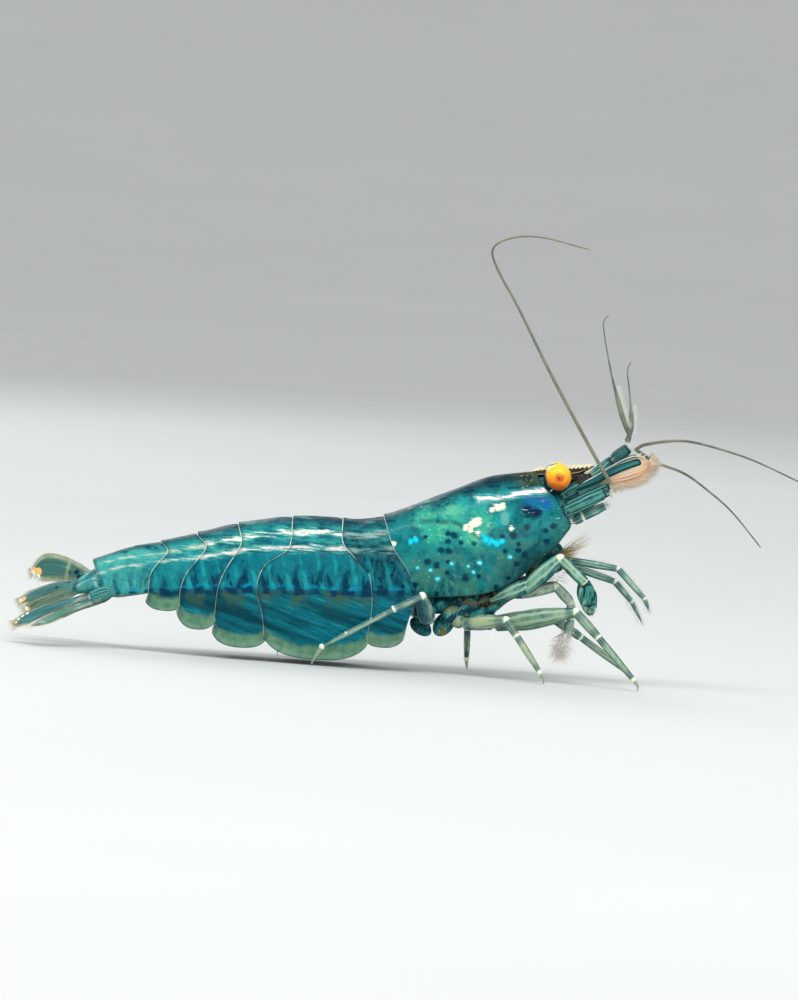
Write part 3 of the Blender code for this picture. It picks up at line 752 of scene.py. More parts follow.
def scale_paint():
    """Antennal scale: dark-lined midrib with a painted highlight down its middle, orange-pink inner
    field, clear base and pale outer edge.
    """
    paint = Paint("antenna_scale", roughness=0.28)
    rays = paint.noise(1.0, at=paint.axes(paint.times("share", 2.0), paint.times("across", 9.0), 0.0),
                       detail=5)
    glassy = paint.over((0.02, 0.12, 0.12), (0.12, 0.3, 0.24), (rays, 0.4, 0.6))
    rosy = paint.over((0.5, 0.22, 0.1), (0.84, 0.58, 0.38), (rays, 0.36, 0.58))
    rosy = paint.over(rosy, (0.66, 0.66, 0.54), (rays, 0.53, 0.61), 0.85)
    rosy = paint.over(rosy, (0.14, 0.13, 0.09), (rays, 0.43, 0.35), 0.7)
    ragged = paint.plus("share", rays, 0.3)
    field = paint.times((ragged, 0.42, 0.58), ("across", 0.3, 0.1))
    field = paint.calc("MAXIMUM", field, ("share", 0.84, 0.9))
    paint.ground(glassy, rosy, field)
    paint.lay((0.78, 0.66, 0.44), ("rib", 1.65, 1.4), ("share", 0.55, 0.75), 0.7)
    paint.lay((0.001, 0.02, 0.035), ("rib", 1.25, 1.1))
    paint.lay((0.006, 0.085, 0.09), ("rib", 1.0, 0.6))
    # Painted highlight down the middle of the midrib.
    paint.lay((0.06, 0.25, 0.22), ("rib", 0.6, 0.2), (rays, 0.42, 0.6), 0.8)
    paint.lay((0.002, 0.03, 0.04), ("rib", 1.0, 0.8), (rays, 0.46, 0.36), 0.8)
    paint.lay(PEARL, ("outer", 0.07, 0.04))
    alpha = paint.calc("MAXIMUM", ("rib", 1.3, 1.0), ("edge", 0.0, 0.4, 0.45, 0.92))
    return paint.finish((rays, 0.05), Alpha=alpha)


def eye_paint():
    """Glossy eye, yellow above and orange below, with a small dark red middle."""
    paint = Paint("eye", roughness=0.22, film=1.0, gloss=0.03)
    cloud = paint.noise(1.8, detail=4)
    level = paint.plus("high", cloud, 0.9)
    paint.ground((0.5, 0.085, 0.003), (0.94, 0.3, 0.008), (level, -0.35, 0.35))
    paint.lay((0.98, 0.58, 0.02), (level, 0.3, 0.95))
    paint.lay((0.8, 0.16, 0.004), ("centre", 0.3, 0.16), 0.6)
    ragged = paint.plus("centre", paint.noise(4.0, detail=5), 0.34)
    paint.lay((0.6, 0.08, 0.002), (ragged, 0.44, 0.3), 0.8)
    paint.lay((0.2, 0.012, 0.002), (ragged, 0.31, 0.2), 0.9)
    paint.lay((0.6, 0.1, 0.003), ("lens", 0.3, 1.0), 0.2)
    paint.lay((0.003, 0.01, 0.03), "socket")
    return paint.finish()


def plain_paint(name, light, dark, roughness=0.35, film=0.4):
    """Mottled finish of small pieces."""
    paint = Paint(name, roughness=roughness, film=film)
    cloud = paint.noise(3.0, detail=4)
    paint.ground(dark, light, (cloud, 0.36, 0.64))
    return paint.finish((cloud, 0.02))


def bristle_paint(name, root, tip):
    """Bristles, from one colour at the root to another at the tip."""
    paint = Paint(name, roughness=0.4, film=0)
    paint.ground(root, tip, ("tip", 0.0, 0.6))
    paint.lay(tip, paint.noise(3.0), 0.5)
    return paint.finish()


# ---------------------------------------------------------------- the body's lines

# The CAD's own outlines seen from the side, as (x, z) stations in its frame, from tail to head.
BACK = ((-15.7, 4.35), (-14.1, 5.12), (-12.4, 5.56), (-10.6, 6.12), (-8.6, 6.74), (-5.9, 7.27),
        (-3.4, 7.36), (-2.6, 7.36), (-1.4, 7.7), (0.9, 8.92), (3.2, 9.88), (4.6, 10.2),
        (6.2, 10.42))
BELLY = ((-14.6, 2.7), (-11.2, 3.2), (-5.4, 3.65), (0.4, 3.9))
SHIELD_EDGE = ((-0.2, 3.7), (1.2, 3.63), (3.3, 3.86), (4.5, 4.2), (5.6, 4.96), (6.5, 6.0),
               (7.2, 6.75))
HALF_WIDTH = ((-15.7, 0.85), (-13.5, 1.05), (-10.6, 1.5), (-7.5, 1.85), (-3.5, 2.0), (-1.0, 2.05),
              (2.0, 2.3), (4.5, 2.15), (6.5, 1.55), (7.9, 1.2))

# Its borders between the shells, as (z, x) stations from low to high, from head to tail.
SHIELD_FRONT = ((6.0, 6.45), (6.7, 7.15), (7.4, 7.6), (7.9, 7.85), (8.3, 7.6), (9.2, 7.0),
                (9.6, 6.5), (10.4, 5.9))
BORDERS = (
    ((1.1, -0.25), (2.6, 0.1), (3.6, 0.3), (4.3, 0.25), (5.0, -0.05), (6.1, -0.85), (7.7, -1.5)),
    ((1.6, -1.9), (3.0, -1.76), (4.0, -1.85), (4.9, -2.1), (5.6, -2.75), (6.2, -3.3), (7.3, -3.4)),
    ((1.3, -6.85), (2.5, -7.1), (3.4, -7.4), (4.2, -7.35), (4.9, -7.0), (5.7, -6.0), (7.2, -5.9)),
    ((1.6, -9.4), (2.7, -9.4), (3.6, -9.32), (4.5, -9.0), (5.4, -8.5), (5.9, -8.35), (6.7, -8.6)),
    ((2.5, -11.2), (3.3, -11.2), (4.1, -10.95), (4.9, -10.4), (5.5, -10.1), (6.0, -10.6)),
    ((2.7, -12.8), (3.9, -12.75), (4.5, -12.4), (5.1, -12.0), (5.5, -12.4)),
    ((2.7, -15.0), (4.3, -15.7)),
)
# Lowest point of each abdomen ring's side plate, and how far its corners rise from there.
SIDE_PLATES = ((1.15, 0.7), (0.3, 1.5), (0.62, 1.0), (1.35, 1.2), (2.15, 0.6), None)
LOW, HIGH = box_of("carapace")


def on_shield(places):
    """(x, z) of places given as shares along and up the carapace's box."""
    return LOW[[0, 2]] + (HIGH - LOW)[[0, 2]] * places


def both_sides(right):
    """A right half sheet, from its edge to the top, carried on down the left side."""
    left = right[:, -2::-1] * (1, -1, 1)
    return np.concatenate((right, left), 1)


def both(values):
    """Numbers of a right half sheet, repeated for the left one."""
    return np.concatenate((values, values[:, -2::-1]), 1)


def shield(t, v, deep=0.0):
    """Right side of the carapace: t runs from its rear border forward, v from below to the top."""
    t, v = np.asarray(t)[:, None], np.asarray(v)[None]
    rear, front = BORDERS[0], SHIELD_FRONT
    top_x = mix(rear[-1][1], front[-1][1], t)
    low_x = mix(rear[2][1], front[1][1], t)
    # Where the lower edge lies depends on the borders' places at its height, and these on it.
    for _ in range(8):
        low = smooth(SHIELD_EDGE, low_x)
        low_x = mix(smooth(rear, low), smooth(front, low), t)
    top = smooth(BACK, top_x)
    wide = smooth(HALF_WIDTH, mix(top_x, low_x, 0.5))
    waist = mix(low, top, 0.42)
    turn = math.pi * (v - 0.5)
    cosine, sine = np.maximum(np.cos(turn), 0), np.sin(turn)
    under = turn < 0
    out = wide * np.where(under, cosine ** 0.55, cosine ** mix(1.0, 1.35, t))
    drop = (waist - low) * np.abs(sine) ** 0.9
    z = waist + np.where(under, -drop, (top - waist) * sine)
    out = out * (1 - deep / wide)
    z = waist + (z - waist) * (1 - deep / (top - waist))
    x = mix(smooth(rear, z) + 0.02, smooth(front, z), t)
    return np.stack((x, RIGHT * out, z), 2), np.broadcast_to(v, x.shape)


def near_line(x, z, line):
    """Distance on the side view from each place to the smooth line through shares of the shield."""
    gaps = np.stack((x, z), -1)[..., None, :] - resample(on_shield(line), 60)
    return np.linalg.norm(gaps, axis=-1).min(-1)


def field(x, z, patches):
    """Strongest pull, 1 to 0, of round patches given as (along, up, radius in mm) of the shield."""
    made = np.zeros_like(x)
    for *place, radius in patches:
        px, pz = on_shield(place)
        made = np.maximum(made, np.exp(-((x - px) ** 2 + (z - pz) ** 2) / radius ** 2))
    return made


def dotted(x, z, spots, radius):
    """Distance from the nearest of the spots on the shield, where 1 is its rim."""
    made = np.full_like(x, 9.0)
    for number, (px, pz) in enumerate(on_shield(spots)):
        size = radius * (0.8 + 0.4 * math.sin(number * 2.4) ** 2)
        made = np.minimum(made, np.hypot(x - px, (z - pz) * 1.1) / size)
    return made


# ---------------------------------------------------------------- shells

# Round patches of colour on the carapace, one layer each, and then its spots and lines.
PATCHES = {
    "turquoise": ((0.42, 0.71, 0.7), (0.62, 0.62, 0.55), (0.52, 0.75, 0.6), (0.65, 0.68, 0.6)),
    "green": ((0.37, 0.61, 0.8), (0.23, 0.6, 0.6), (0.52, 0.62, 0.65), (0.29, 0.51, 0.7),
              (0.48, 0.51, 0.75)),
    "cyan": ((0.535, 0.51, 0.17), (0.555, 0.485, 0.22), (0.58, 0.47, 0.24), (0.61, 0.465, 0.22),
             (0.64, 0.48, 0.17), (0.155, 0.425, 0.17), (0.18, 0.44, 0.18)),
    # Cream patches: pale flecks, partly painted glints.
    "cream": ((0.49, 0.605, 0.24), (0.505, 0.62, 0.24), (0.475, 0.59, 0.2), (0.44, 0.565, 0.17),
              (0.47, 0.555, 0.17), (0.51, 0.53, 0.17), (0.63, 0.74, 0.21), (0.605, 0.725, 0.22),
              (0.575, 0.705, 0.18), (0.685, 0.585, 0.15), (0.06, 0.4, 0.16)),
    "window": ((0.645, 0.665, 0.32), (0.65, 0.63, 0.3)),
    "cobalt": ((0.82, 0.78, 0.6), (0.86, 0.77, 0.5), (0.78, 0.78, 0.5)),
    "navy": ((0.81, 0.71, 0.45), (0.77, 0.72, 0.4)),
}
SPARKS = ((0.2, 0.24), (0.27, 0.23), (0.31, 0.17), (0.38, 0.29), (0.47, 0.28), (0.5, 0.24),
          (0.53, 0.31), (0.69, 0.37))
DOTS = ((0.23, 0.47), (0.35, 0.51), (0.38, 0.5), (0.35, 0.45), (0.42, 0.45), (0.49, 0.45),
        (0.32, 0.38), (0.36, 0.38), (0.36, 0.3), (0.36, 0.22), (0.3, 0.27), (0.46, 0.19),
        (0.53, 0.21), (0.66, 0.41), (0.73, 0.42), (0.77, 0.39), (0.73, 0.32), (0.69, 0.21),
        (0.63, 0.13), (0.7, 0.53), (0.77, 0.6), (0.73, 0.47), (0.87, 0.58), (0.91, 0.62),
        (0.88, 0.5), (0.64, 0.52), (0.31, 0.06), (0.19, 0.11), (0.25, 0.29))
GROOVE = ((0.2, 0.58), (0.29, 0.59), (0.38, 0.59), (0.47, 0.54), (0.52, 0.5))
SECOND_GROOVE = ((0.84, 0.64), (0.84, 0.49), (0.8, 0.43), (0.76, 0.37))
# Line along which the painted highlight streak runs.
STREAK = ((0.5, 0.77), (0.54, 0.784), (0.65, 0.81), (0.75, 0.85), (0.86, 0.868))


def carapace():
    """Head and trunk shield, open below, with its grooves and the spines of its front border."""
    half, under = shield(1 - np.linspace(0, 1, 162), np.linspace(0.13, 1, 144))
    places = both_sides(half)
    x, z = places[..., 0], places[..., 2]
    up = both(under)
    groove = np.minimum(near_line(x, z, GROOVE), near_line(x, z, SECOND_GROOVE))
    rear = x - smooth(BORDERS[0], z)
    front = smooth(SHIELD_FRONT, z) - x
    low = z - places[:, :1, 2]
    relief = rough(places, 1.3) * 0.035 + rough(places, 0.45, 7) * 0.01
    relief -= 0.05 * np.exp(-(groove / 0.16) ** 2)
    relief += 0.04 * np.exp(-(front / 0.1) ** 2) + 0.02 * np.exp(-(rear / 0.12) ** 2)
    places = places + faces_out(places) * relief[..., None]
    shape = Shape()
    shape.grid(places, up=up, rear=rear, front=front, low=low, groove=groove,
               streak=near_line(x, z, STREAK), dots=dotted(x, z, DOTS, 0.175),
               sparks=dotted(x, z, SPARKS, 0.17),
               **{name: field(x, z, patches) for name, patches in PATCHES.items()})
    shape.make("carapace_shell", carapace_paint(), "shell", ["carapace"], depth=SHELL_DEPTH)
    spines = Shape()
    for side, _ in SIDES:
        for x, out, z, long in ((7.62, 1.22, 7.93, 0.42), (6.9, 1.35, 6.72, 0.25)):
            start = np.array((x, side * out, z))
            end = start + (long, -side * 0.04, 0.05)
            podomere(spines, start, end, (0.09, 0.06, 0.004), sides=10)
    spines.make("carapace_spines", plain_paint("spine", (0.3, 0.42, 0.32), (0.03, 0.16, 0.16)),
                "shell")


def plate(number, t, s):
    """Right side of an abdomen ring: t runs from front to rear, s from the plate's tip to the top."""
    t, s = np.asarray(t)[:, None], np.asarray(s)[None]
    front, rear = BORDERS[number - 1], BORDERS[number]
    top_x = mix(front[-1][1], rear[-1][1], t)
    top, flesh = smooth(BACK, top_x), smooth(BELLY, top_x)
    if SIDE_PLATES[number - 1]:
        bottom, rise = SIDE_PLATES[number - 1]
        swing = np.abs(0.97 * (2 * t - 1))
        tip = bottom + rise * (1 - (1 - swing ** 2.5) ** 0.4)
    else:
        tip = flesh - 0.05
    wide, waist = smooth(HALF_WIDTH, top_x), mix(flesh, top, 0.45)
    share = np.clip(s * 2, 0, 1)
    turn = np.clip(s * 2 - 1, 0, 1) * math.pi / 2
    out = np.where(s < 0.5, wide - 0.2 * (1 - share) ** 2, wide * np.cos(turn))
    z = np.where(s < 0.5, mix(tip, waist, share), waist + (top - waist) * np.sin(turn))
    ahead, behind = smooth(front, z) + 0.08, smooth(rear, z) - 0.08
    x = mix(ahead, behind, t)
    layers = {"up": np.broadcast_to(s, x.shape), "above": z - smooth(BELLY, x), "low": z - tip,
              "front": ahead - x, "rear": x - behind}
    return np.stack((x, RIGHT * out, z), 2), layers


def abdomen_ring(number):
    """One ring of the abdomen: it lies over the next one's front, and ring 2 over ring 1's flank."""
    rows = 90 if number in (2, 3, 6) else 64
    t = (1 - np.cos(np.linspace(0, math.pi, rows))) / 2
    s = np.concatenate((np.linspace(0, 0.5, 70)[:-1], np.linspace(0.5, 1, 45)))
    half, layers = plate(number, t, s)
    places = both_sides(half)
    layers = {name: both(value) for name, value in layers.items()}
    out = faces_out(places)
    flank = ease(layers["up"], 0.5, 0.35)
    front_lift = -0.05 if number != 2 else mix(-0.05, 0.04, flank)
    rear_lift = 0.015 if number != 1 else mix(0.015, -0.05, flank)
    relief = rear_lift * ease(layers["rear"], 0.5, 0) + front_lift * ease(layers["front"], 0.5, 0)
    relief += rough(places, 1.1) * 0.03 + rough(places, 0.4) * 0.006
    curl = 0.16 * ease(layers["low"], 0.9, 0) ** 2
    places = places + out * (relief + curl * flank)[..., None]
    shape = Shape()
    shape.grid(places, **layers)
    shape.make(f"abdomen_{number}_shell", abdomen_paint(f"abdomen_{number}_shell", number), "shell",
               [f"abdomen_{number}"], depth=SHELL_DEPTH)


def flesh():
    """Body inside the shells, closed, with a ridge under each ring of the abdomen."""
    shape = Shape()
    v = np.linspace(0, 1, 60)
    half, _ = shield(np.linspace(0.97, -0.02, 90), v, deep=0.16)
    half[..., 2] += 0.12 * np.clip((0.5 - v) * 2, 0, 1)[None]
    trunk = both_sides(half)
    core = trunk[:1].mean(1, keepdims=True)
    nose = [core + (trunk[:1] - core) * size + (ahead, 0, 0)
            for size, ahead in ((0.1, 0.32), (0.45, 0.3), (0.75, 0.2), (0.92, 0.1))]
    trunk = np.concatenate((*nose, trunk))
    shape.grid(trunk)
    x = np.linspace(-0.9, -15.55, 250)[:, None]
    top, low = smooth(BACK, x) - 0.2, smooth(BELLY, x)
    ridges = np.array([np.mean([border[-1][1] for border in pair])
                       for pair in zip(BORDERS, BORDERS[1:])])
    low = low - 0.12 * np.exp(-(np.abs(x - ridges).min(1, keepdims=True) / 0.4) ** 2)
    wide = smooth(HALF_WIDTH, x) - 0.3
    turn = turns(48)
    sine = np.sin(turn)
    middle = mix(low, top, 0.45)
    z = middle + np.where(sine > 0, top - middle, middle - low) * np.sign(sine) * np.abs(sine) ** 0.8
    ring = np.stack((x + z * 0, wide * np.cos(turn), z), 2)
    shape.solid(ring[:, ::-1])
    lump(shape, (6.35, 0, 9.72), (0.62, 0.72, 0.42), lean=0.3)
    lump(shape, (7.3, 0, 8.72), (0.8, 1.05, 0.95))
    shape.make("flesh", flesh_paint(), "underside")


# ---------------------------------------------------------------- small solid shapes

def lump(shape, centre, radii, lean=0.0, rows=20, columns=28, **layers):
    """Adds a round lump; lean turns it about the y axis."""
    rise = np.linspace(-math.pi / 2, math.pi / 2, rows)[:, None]
    turn = turns(columns)
    x, y = np.cos(rise) * np.cos(turn) * radii[0], np.cos(rise) * np.sin(turn) * radii[1]
    z = np.sin(rise) * radii[2] + x * 0
    places = np.stack((x * math.cos(lean) - z * math.sin(lean), y,
                       x * math.sin(lean) + z * math.cos(lean)), 2) + centre
    shape.solid(places[:, ::-1], **layers)


def podomere(shape, start, end, radii, sides=18, rows=26, bow=(0, 0, 0), flat=1.0, far=0.0,
             blunt=0.45, **layers):
    """Adds one limb segment with rounded ends, as thick as radii says at its start, middle, end."""
    start, end = np.asarray(start, float), np.asarray(end, float)
    share = (1 - np.cos(np.linspace(0, math.pi, rows))) / 2
    line = mix(start, end, share[:, None]) + np.sin(share * math.pi)[:, None] * np.asarray(bow)
    size = smooth(tuple(zip((0, 0.5, 1), radii)), share)
    long = np.linalg.norm(end - start)
    near = np.minimum(share, 1 - share) * long
    round_off = np.sqrt(1 - np.clip(1 - near / np.maximum(size * blunt, 0.01), 0, 1) ** 2)
    places = tube(line, size * np.maximum(round_off, 0.02), sides, flat=flat)
    around = np.abs(np.linspace(0, 1, sides)[None] * 2 - 1)
    shape.solid(places, **{"along": (share * long + far)[:, None], "around": around,
                           "joint": near[:, None], **layers})


def limb(shape, joints, radii, ball=1.05, **settings):
    """Adds a chain of segments with a pale ball at each joint between them."""
    far = 0.0
    for i, (start, end) in enumerate(zip(joints, joints[1:])):
        way = unit(end - start)
        gap = -0.04 if i else 0.0
        podomere(shape, start + way * gap, end + way * 0.03, radii[i], far=far, **settings)
        if i:
            size = min(radii[i - 1][-1], radii[i][0]) * ball
            lump(shape, start, (size,) * 3, rows=12, columns=16, joint=0.0, along=far)
        far += np.linalg.norm(end - start)


def spikes(shape, joints, share, count, size, away):
    """Adds small spines along the last stretches of a leg."""
    line = resample(np.array(joints), 200)
    last = len(line) - 1
    for at in np.linspace(share, 0.97, count):
        i = int(at * last)
        way = unit(line[min(i + 1, last)] - line[i - 1])
        start = line[i] + np.asarray(away) * 0.1
        podomere(shape, start, start + (np.asarray(away) * 0.6 + way * 0.8) * size,
                 (0.022, 0.015, 0.003), sides=6, rows=6, claw=1.0)


def edge_fringe(shape, line, ways, lengths, thick, jitter=0.18):
    """Adds bristles from a line of roots, each turned a little at random."""
    count = len(line)
    ways = unit(ways) + chance.normal(0, jitter, (count, 3))
    sizes = np.broadcast_to(lengths, (count,)) * chance.uniform(0.8, 1.15, count)
    spots = np.stack((np.linspace(0.02, 0.98, count), chance.uniform(0.02, 0.98, count)), 1)
    shape.tufts(line, ways, sizes, thick, spots)


def ring_of_ways(along, count):
    """Random ways square to a limb, and the limb's own upright one."""
    turn = chance.uniform(0, math.tau, count)
    side = unit(np.cross(along, (0, 0, 1)))
    up = np.cross(side, along)
    return side * np.cos(turn)[:, None] + up * np.sin(turn)[:, None], up


def blade_frame(line, widths, ways, rows):
    """Points along a blade; the share, width and flat way at each, and the way along it."""
    share = np.linspace(0, 1, rows)
    far = travelled(line) / travelled(line)[-1]
    path = resample(line, rows)
    return (path, share, follow(far, widths[:, None], share)[:, 0], unit(follow(far, ways, share)),
            unit(np.gradient(path, axis=0)))


def leaf(path, way, face, half, across, thick):
    """Places round a flat body: rows along its path, columns across and back."""
    return (path[:, None] + way[:, None] * (across * half)[..., None]
            + face[:, None] * thick[..., None])


# ---------------------------------------------------------------- head

def rostrum():
    """Toothed beak: a thin golden blade with pale teeth along its top and a pale lower edge."""
    tip = box_of("rostrum")[1][0]
    x = np.linspace(5.75, tip, 150)
    top = smooth(((5.75, 10.3), (6.0, 10.42), (7.4, 10.62), (8.4, 10.78), (tip, 10.86)), x)
    under = smooth(((5.75, 10.0), (6.2, 10.1), (6.8, 10.12), (7.5, 10.16), (8.1, 10.3),
                    (8.5, 10.6), (tip, 10.84)), x)
    thick = smooth(((5.75, 0.2), (6.5, 0.15), (7.6, 0.1), (8.4, 0.06), (tip, 0.015)), x)
    turn = turns(24)
    middle, tall = ((top + under) / 2)[:, None], ((top - under) / 2)[:, None] + 0.012
    places = np.stack((x[:, None] + turn * 0, np.cos(turn) * thick[:, None],
                       middle + np.sin(turn) * tall), 2)
    shape = Shape()
    shape.solid(places[:, ::-1], tooth=0.0,
               height=np.broadcast_to(np.sin(turn), places.shape[:2])[:, ::-1])
    for share in np.linspace(0, 1, 14):
        at = mix(5.8, tip - 0.3, share)
        base = smooth(list(zip(x[::10], top[::10])), at) - 0.06
        start = np.array((at, 0, base))
        end = start + (mix(0.26, 0.2, share), 0, mix(0.3, 0.24, share))
        podomere(shape, start, end, (0.07, 0.065, 0.02), sides=10, rows=12, flat=0.8,
                 tooth=1.0, height=0.0)
    for at, base in ((8.15, 10.34), (8.42, 10.56)):
        podomere(shape, (at, 0, base), (at + 0.18, 0, base - 0.07), (0.05, 0.035, 0.005),
                 sides=8, rows=8, tooth=1.0, height=0.0)
    lump(shape, (7.9, 0, 10.12), (0.95, 0.3, 0.32), lean=0.15, height=-1.0, tooth=0.0)
    shape.make("rostrum_blade", rostrum_paint(), "beak", ["rostrum"])


def rostrum_paint():
    """Golden brown beak with cream teeth."""
    paint = Paint("rostrum", roughness=0.3)
    cloud = paint.noise(3.0, at=(0.5, 1, 1), detail=4)
    paint.ground((0.012, 0.012, 0.008), (0.1, 0.075, 0.025), (cloud, 0.4, 0.7))
    under = paint.over((0.016, 0.012, 0.011), (0.06, 0.05, 0.03), (cloud, 0.5, 0.7))
    under = paint.over(under, (0.6, 0.5, 0.2), (paint.cells(2.0), 0.12, 0.07))
    paint.lay(under, ("height", 0.0, -0.2))
    band = paint.times(("height", -0.14, -0.06), ("height", 0.08, 0.0))
    paint.lay((0.62, 0.52, 0.28), band, 0.85)
    glow = paint.noise(6.0, detail=2)
    paint.lay((0.5, 0.42, 0.12), (glow, 0.66, 0.72), 0.7)
    paint.lay((0.95, 0.85, 0.5), "tooth")
    return paint.finish((cloud, 0.03))


def eye(side, word):
    """Round eye, finely faceted, in a dark cup on its stalk."""
    low, high = box_of("eye_" + word)
    centre, radius = (low + high) / 2 + (-0.07, 0, 0.07), (high[0] - low[0]) / 2 * 1.04
    rise = np.linspace(-math.pi / 2, math.pi / 2, 110)[:, None]
    turn = turns(180)
    ways = np.stack((np.cos(rise) * np.cos(turn), np.cos(rise) * np.sin(turn),
                     np.sin(rise) + turn * 0), 2)
    upright, level = 62, 52  # how closely the facets stand
    facets = np.sin(rise * upright) * np.sin(turn * level) * np.cos(rise) ** 0.5
    places = centre + ways * (radius * (0.985 + 0.006 * facets))[..., None]
    look = unit(np.array((0.1, side * 1.0, 0.0)))
    root = unit(np.array((6.78, side * 0.42, 9.95)) - centre)
    toward = ways @ root
    shape = Shape()
    shape.solid(places[:, ::-1], high=ways[:, ::-1, 2],
               centre=np.linalg.norm(ways - look, axis=2)[:, ::-1] * radius,
               lens=facets[:, ::-1], socket=ease(toward, 0.42, 0.55)[:, ::-1])
    shape.make("eye_ball_" + word, eye_paint(), "eye", ["eye_" + word])
    stalk = Shape()
    start = np.array((6.55, side * 0.25, 9.85))
    line = mix(start, centre - root * 0.02, np.linspace(0, 1, 40)[:, None])
    size = smooth(((0, 0.3), (0.25, 0.34), (0.5, 0.42), (0.72, 0.6), (0.86, 0.655), (1, 0.665)),
                  np.linspace(0, 1, 40))
    stalk.grid(tube(line, size, 40), wrap=True)
    stalk.make("eyestalk_cup_" + word, plain_paint(
        "eyestalk", (0.01, 0.05, 0.075), (0.002, 0.012, 0.03), 0.2, 0.8), "eye",
        ["eyestalk_" + word])


def antennule(side, word):
    """Three stout segments of the antennule, with bristles at their joints and a side spine."""
    line = middle_line("antennule_" + word)
    joints = resample(line, 4, (0, 0.44, 0.74, 1))
    shape, tuft = Shape(), Shape()
    thick = ((0.24, 0.34, 0.27), (0.27, 0.3, 0.25), (0.25, 0.3, 0.23))
    for i, (start, end) in enumerate(zip(joints, joints[1:])):
        way = unit(end - start)
        podomere(shape, start - way * 0.1, end + way * 0.02, thick[i], sides=24, rows=30,
                 far=i * 1.5, cap=float(i == 2))
    spine = joints[0] + (0.15, side * 0.28, 0.12)
    podomere(shape, spine, spine + (0.95, side * 0.08, 0.62), (0.09, 0.06, 0.005), cap=0.0)
    shape.make("antennule_segments_" + word, antennule_paint(), "feeler", ["antennule_" + word])
    along = unit(joints[-1] - joints[0])
    for joint in joints[1:]:
        out, _ = ring_of_ways(along, 34)
        edge_fringe(tuft, joint + out * 0.26, along * 0.8 + out * 0.5, 0.3, 0.008)
    tuft.make("antennule_bristles_" + word, PALE_BRISTLE, "feeler")


def antennule_paint():
    """Glassy blue-green with painted shade on its outlines, a painted highlight line down its sides, pale
    lines and dark ends, brown in a patch beside the beak.
    """
    paint = Paint("antennule", roughness=0.24)
    around = paint.times("around", 5.0)
    rays = paint.noise(1.0, at=paint.axes(paint.times("along", 0.6), around, "cap"), detail=4)
    murk = paint.noise(1.8, detail=4)
    paint.ground((0.006, 0.06, 0.07), (0.03, 0.17, 0.15), (rays, 0.4, 0.6))
    paint.lay((0.012, 0.14, 0.17), (murk, 0.5, 0.64), 0.8)
    # Painted shade along the outlines and a painted highlight line down the sides.
    paint.glass_painted_light(pale=(0.13, 0.34, 0.27), deep=(0.002, 0.03, 0.04), weight=0.9)
    paint.lay((0.2, 0.4, 0.3), (rays, 0.6, 0.7), 0.5)
    paint.lay((0.003, 0.025, 0.04), ("joint", 0.26, 0.12), 0.8)
    paint.lay((0.006, 0.05, 0.06), "cap", (murk, 0.3, 0.5), 0.7)
    paint.lay(BONE, ("joint", 0.05, 0.02), 0.8)
    x, _, z = paint.split()
    aside = paint.plus(-14.95, x, 1.8)
    above = paint.plus(-27.7, z, 2.7)
    patch = paint.calc("SQRT", paint.calc("ADD", paint.times(aside, aside), paint.times(above, above)))
    patch = paint.step(paint.plus(patch, murk, 0.5), 1.4, 1.0)
    brown = paint.over((0.012, 0.01, 0.01), (0.07, 0.06, 0.035), (rays, 0.5, 0.66))
    paint.lay(brown, patch, 0.95)
    return paint.finish((murk, 0.04))


def feeler(node, name, sizes, bead, rings, material, comb=None, begin=0.0):
    """Beaded feeler along its CAD node; comb says where its bristles begin, end, point, reach."""
    line = middle_line(node)
    count = max(int(travelled(line)[-1] / bead * 5), 80)
    line = resample(line, count, np.linspace(begin, 1, count))
    far = travelled(line)
    share = far / far[-1]
    beads = 0.5 + 0.5 * np.sin(far * math.tau / bead)
    wave = (1 + rings * (beads - 0.5))[:, None]
    size = smooth(sizes, share) * np.sqrt(np.clip((1 - share) * 40, 0.01, 1))
    shape = Shape()
    shape.solid(tube(line, size, 12, wave=wave), along=far[:, None], bead=beads[:, None])
    shape.make(name, material, "feeler", [node])
    if comb:
        first, last, turn, reach = comb
        keep = (share > first) & (share < last)
        roots = np.repeat(line[keep], 2, axis=0)
        way = unit(np.gradient(line, axis=0))[keep]
        ways = np.repeat(np.cross(way, (0, 1, 0)) * turn + way * 0.5, 2, axis=0)
        tuft = Shape()
        edge_fringe(tuft, roots + ways * 0.08, ways, reach, 0.007)
        tuft.make(name + "_comb", PALE_BRISTLE, "feeler")


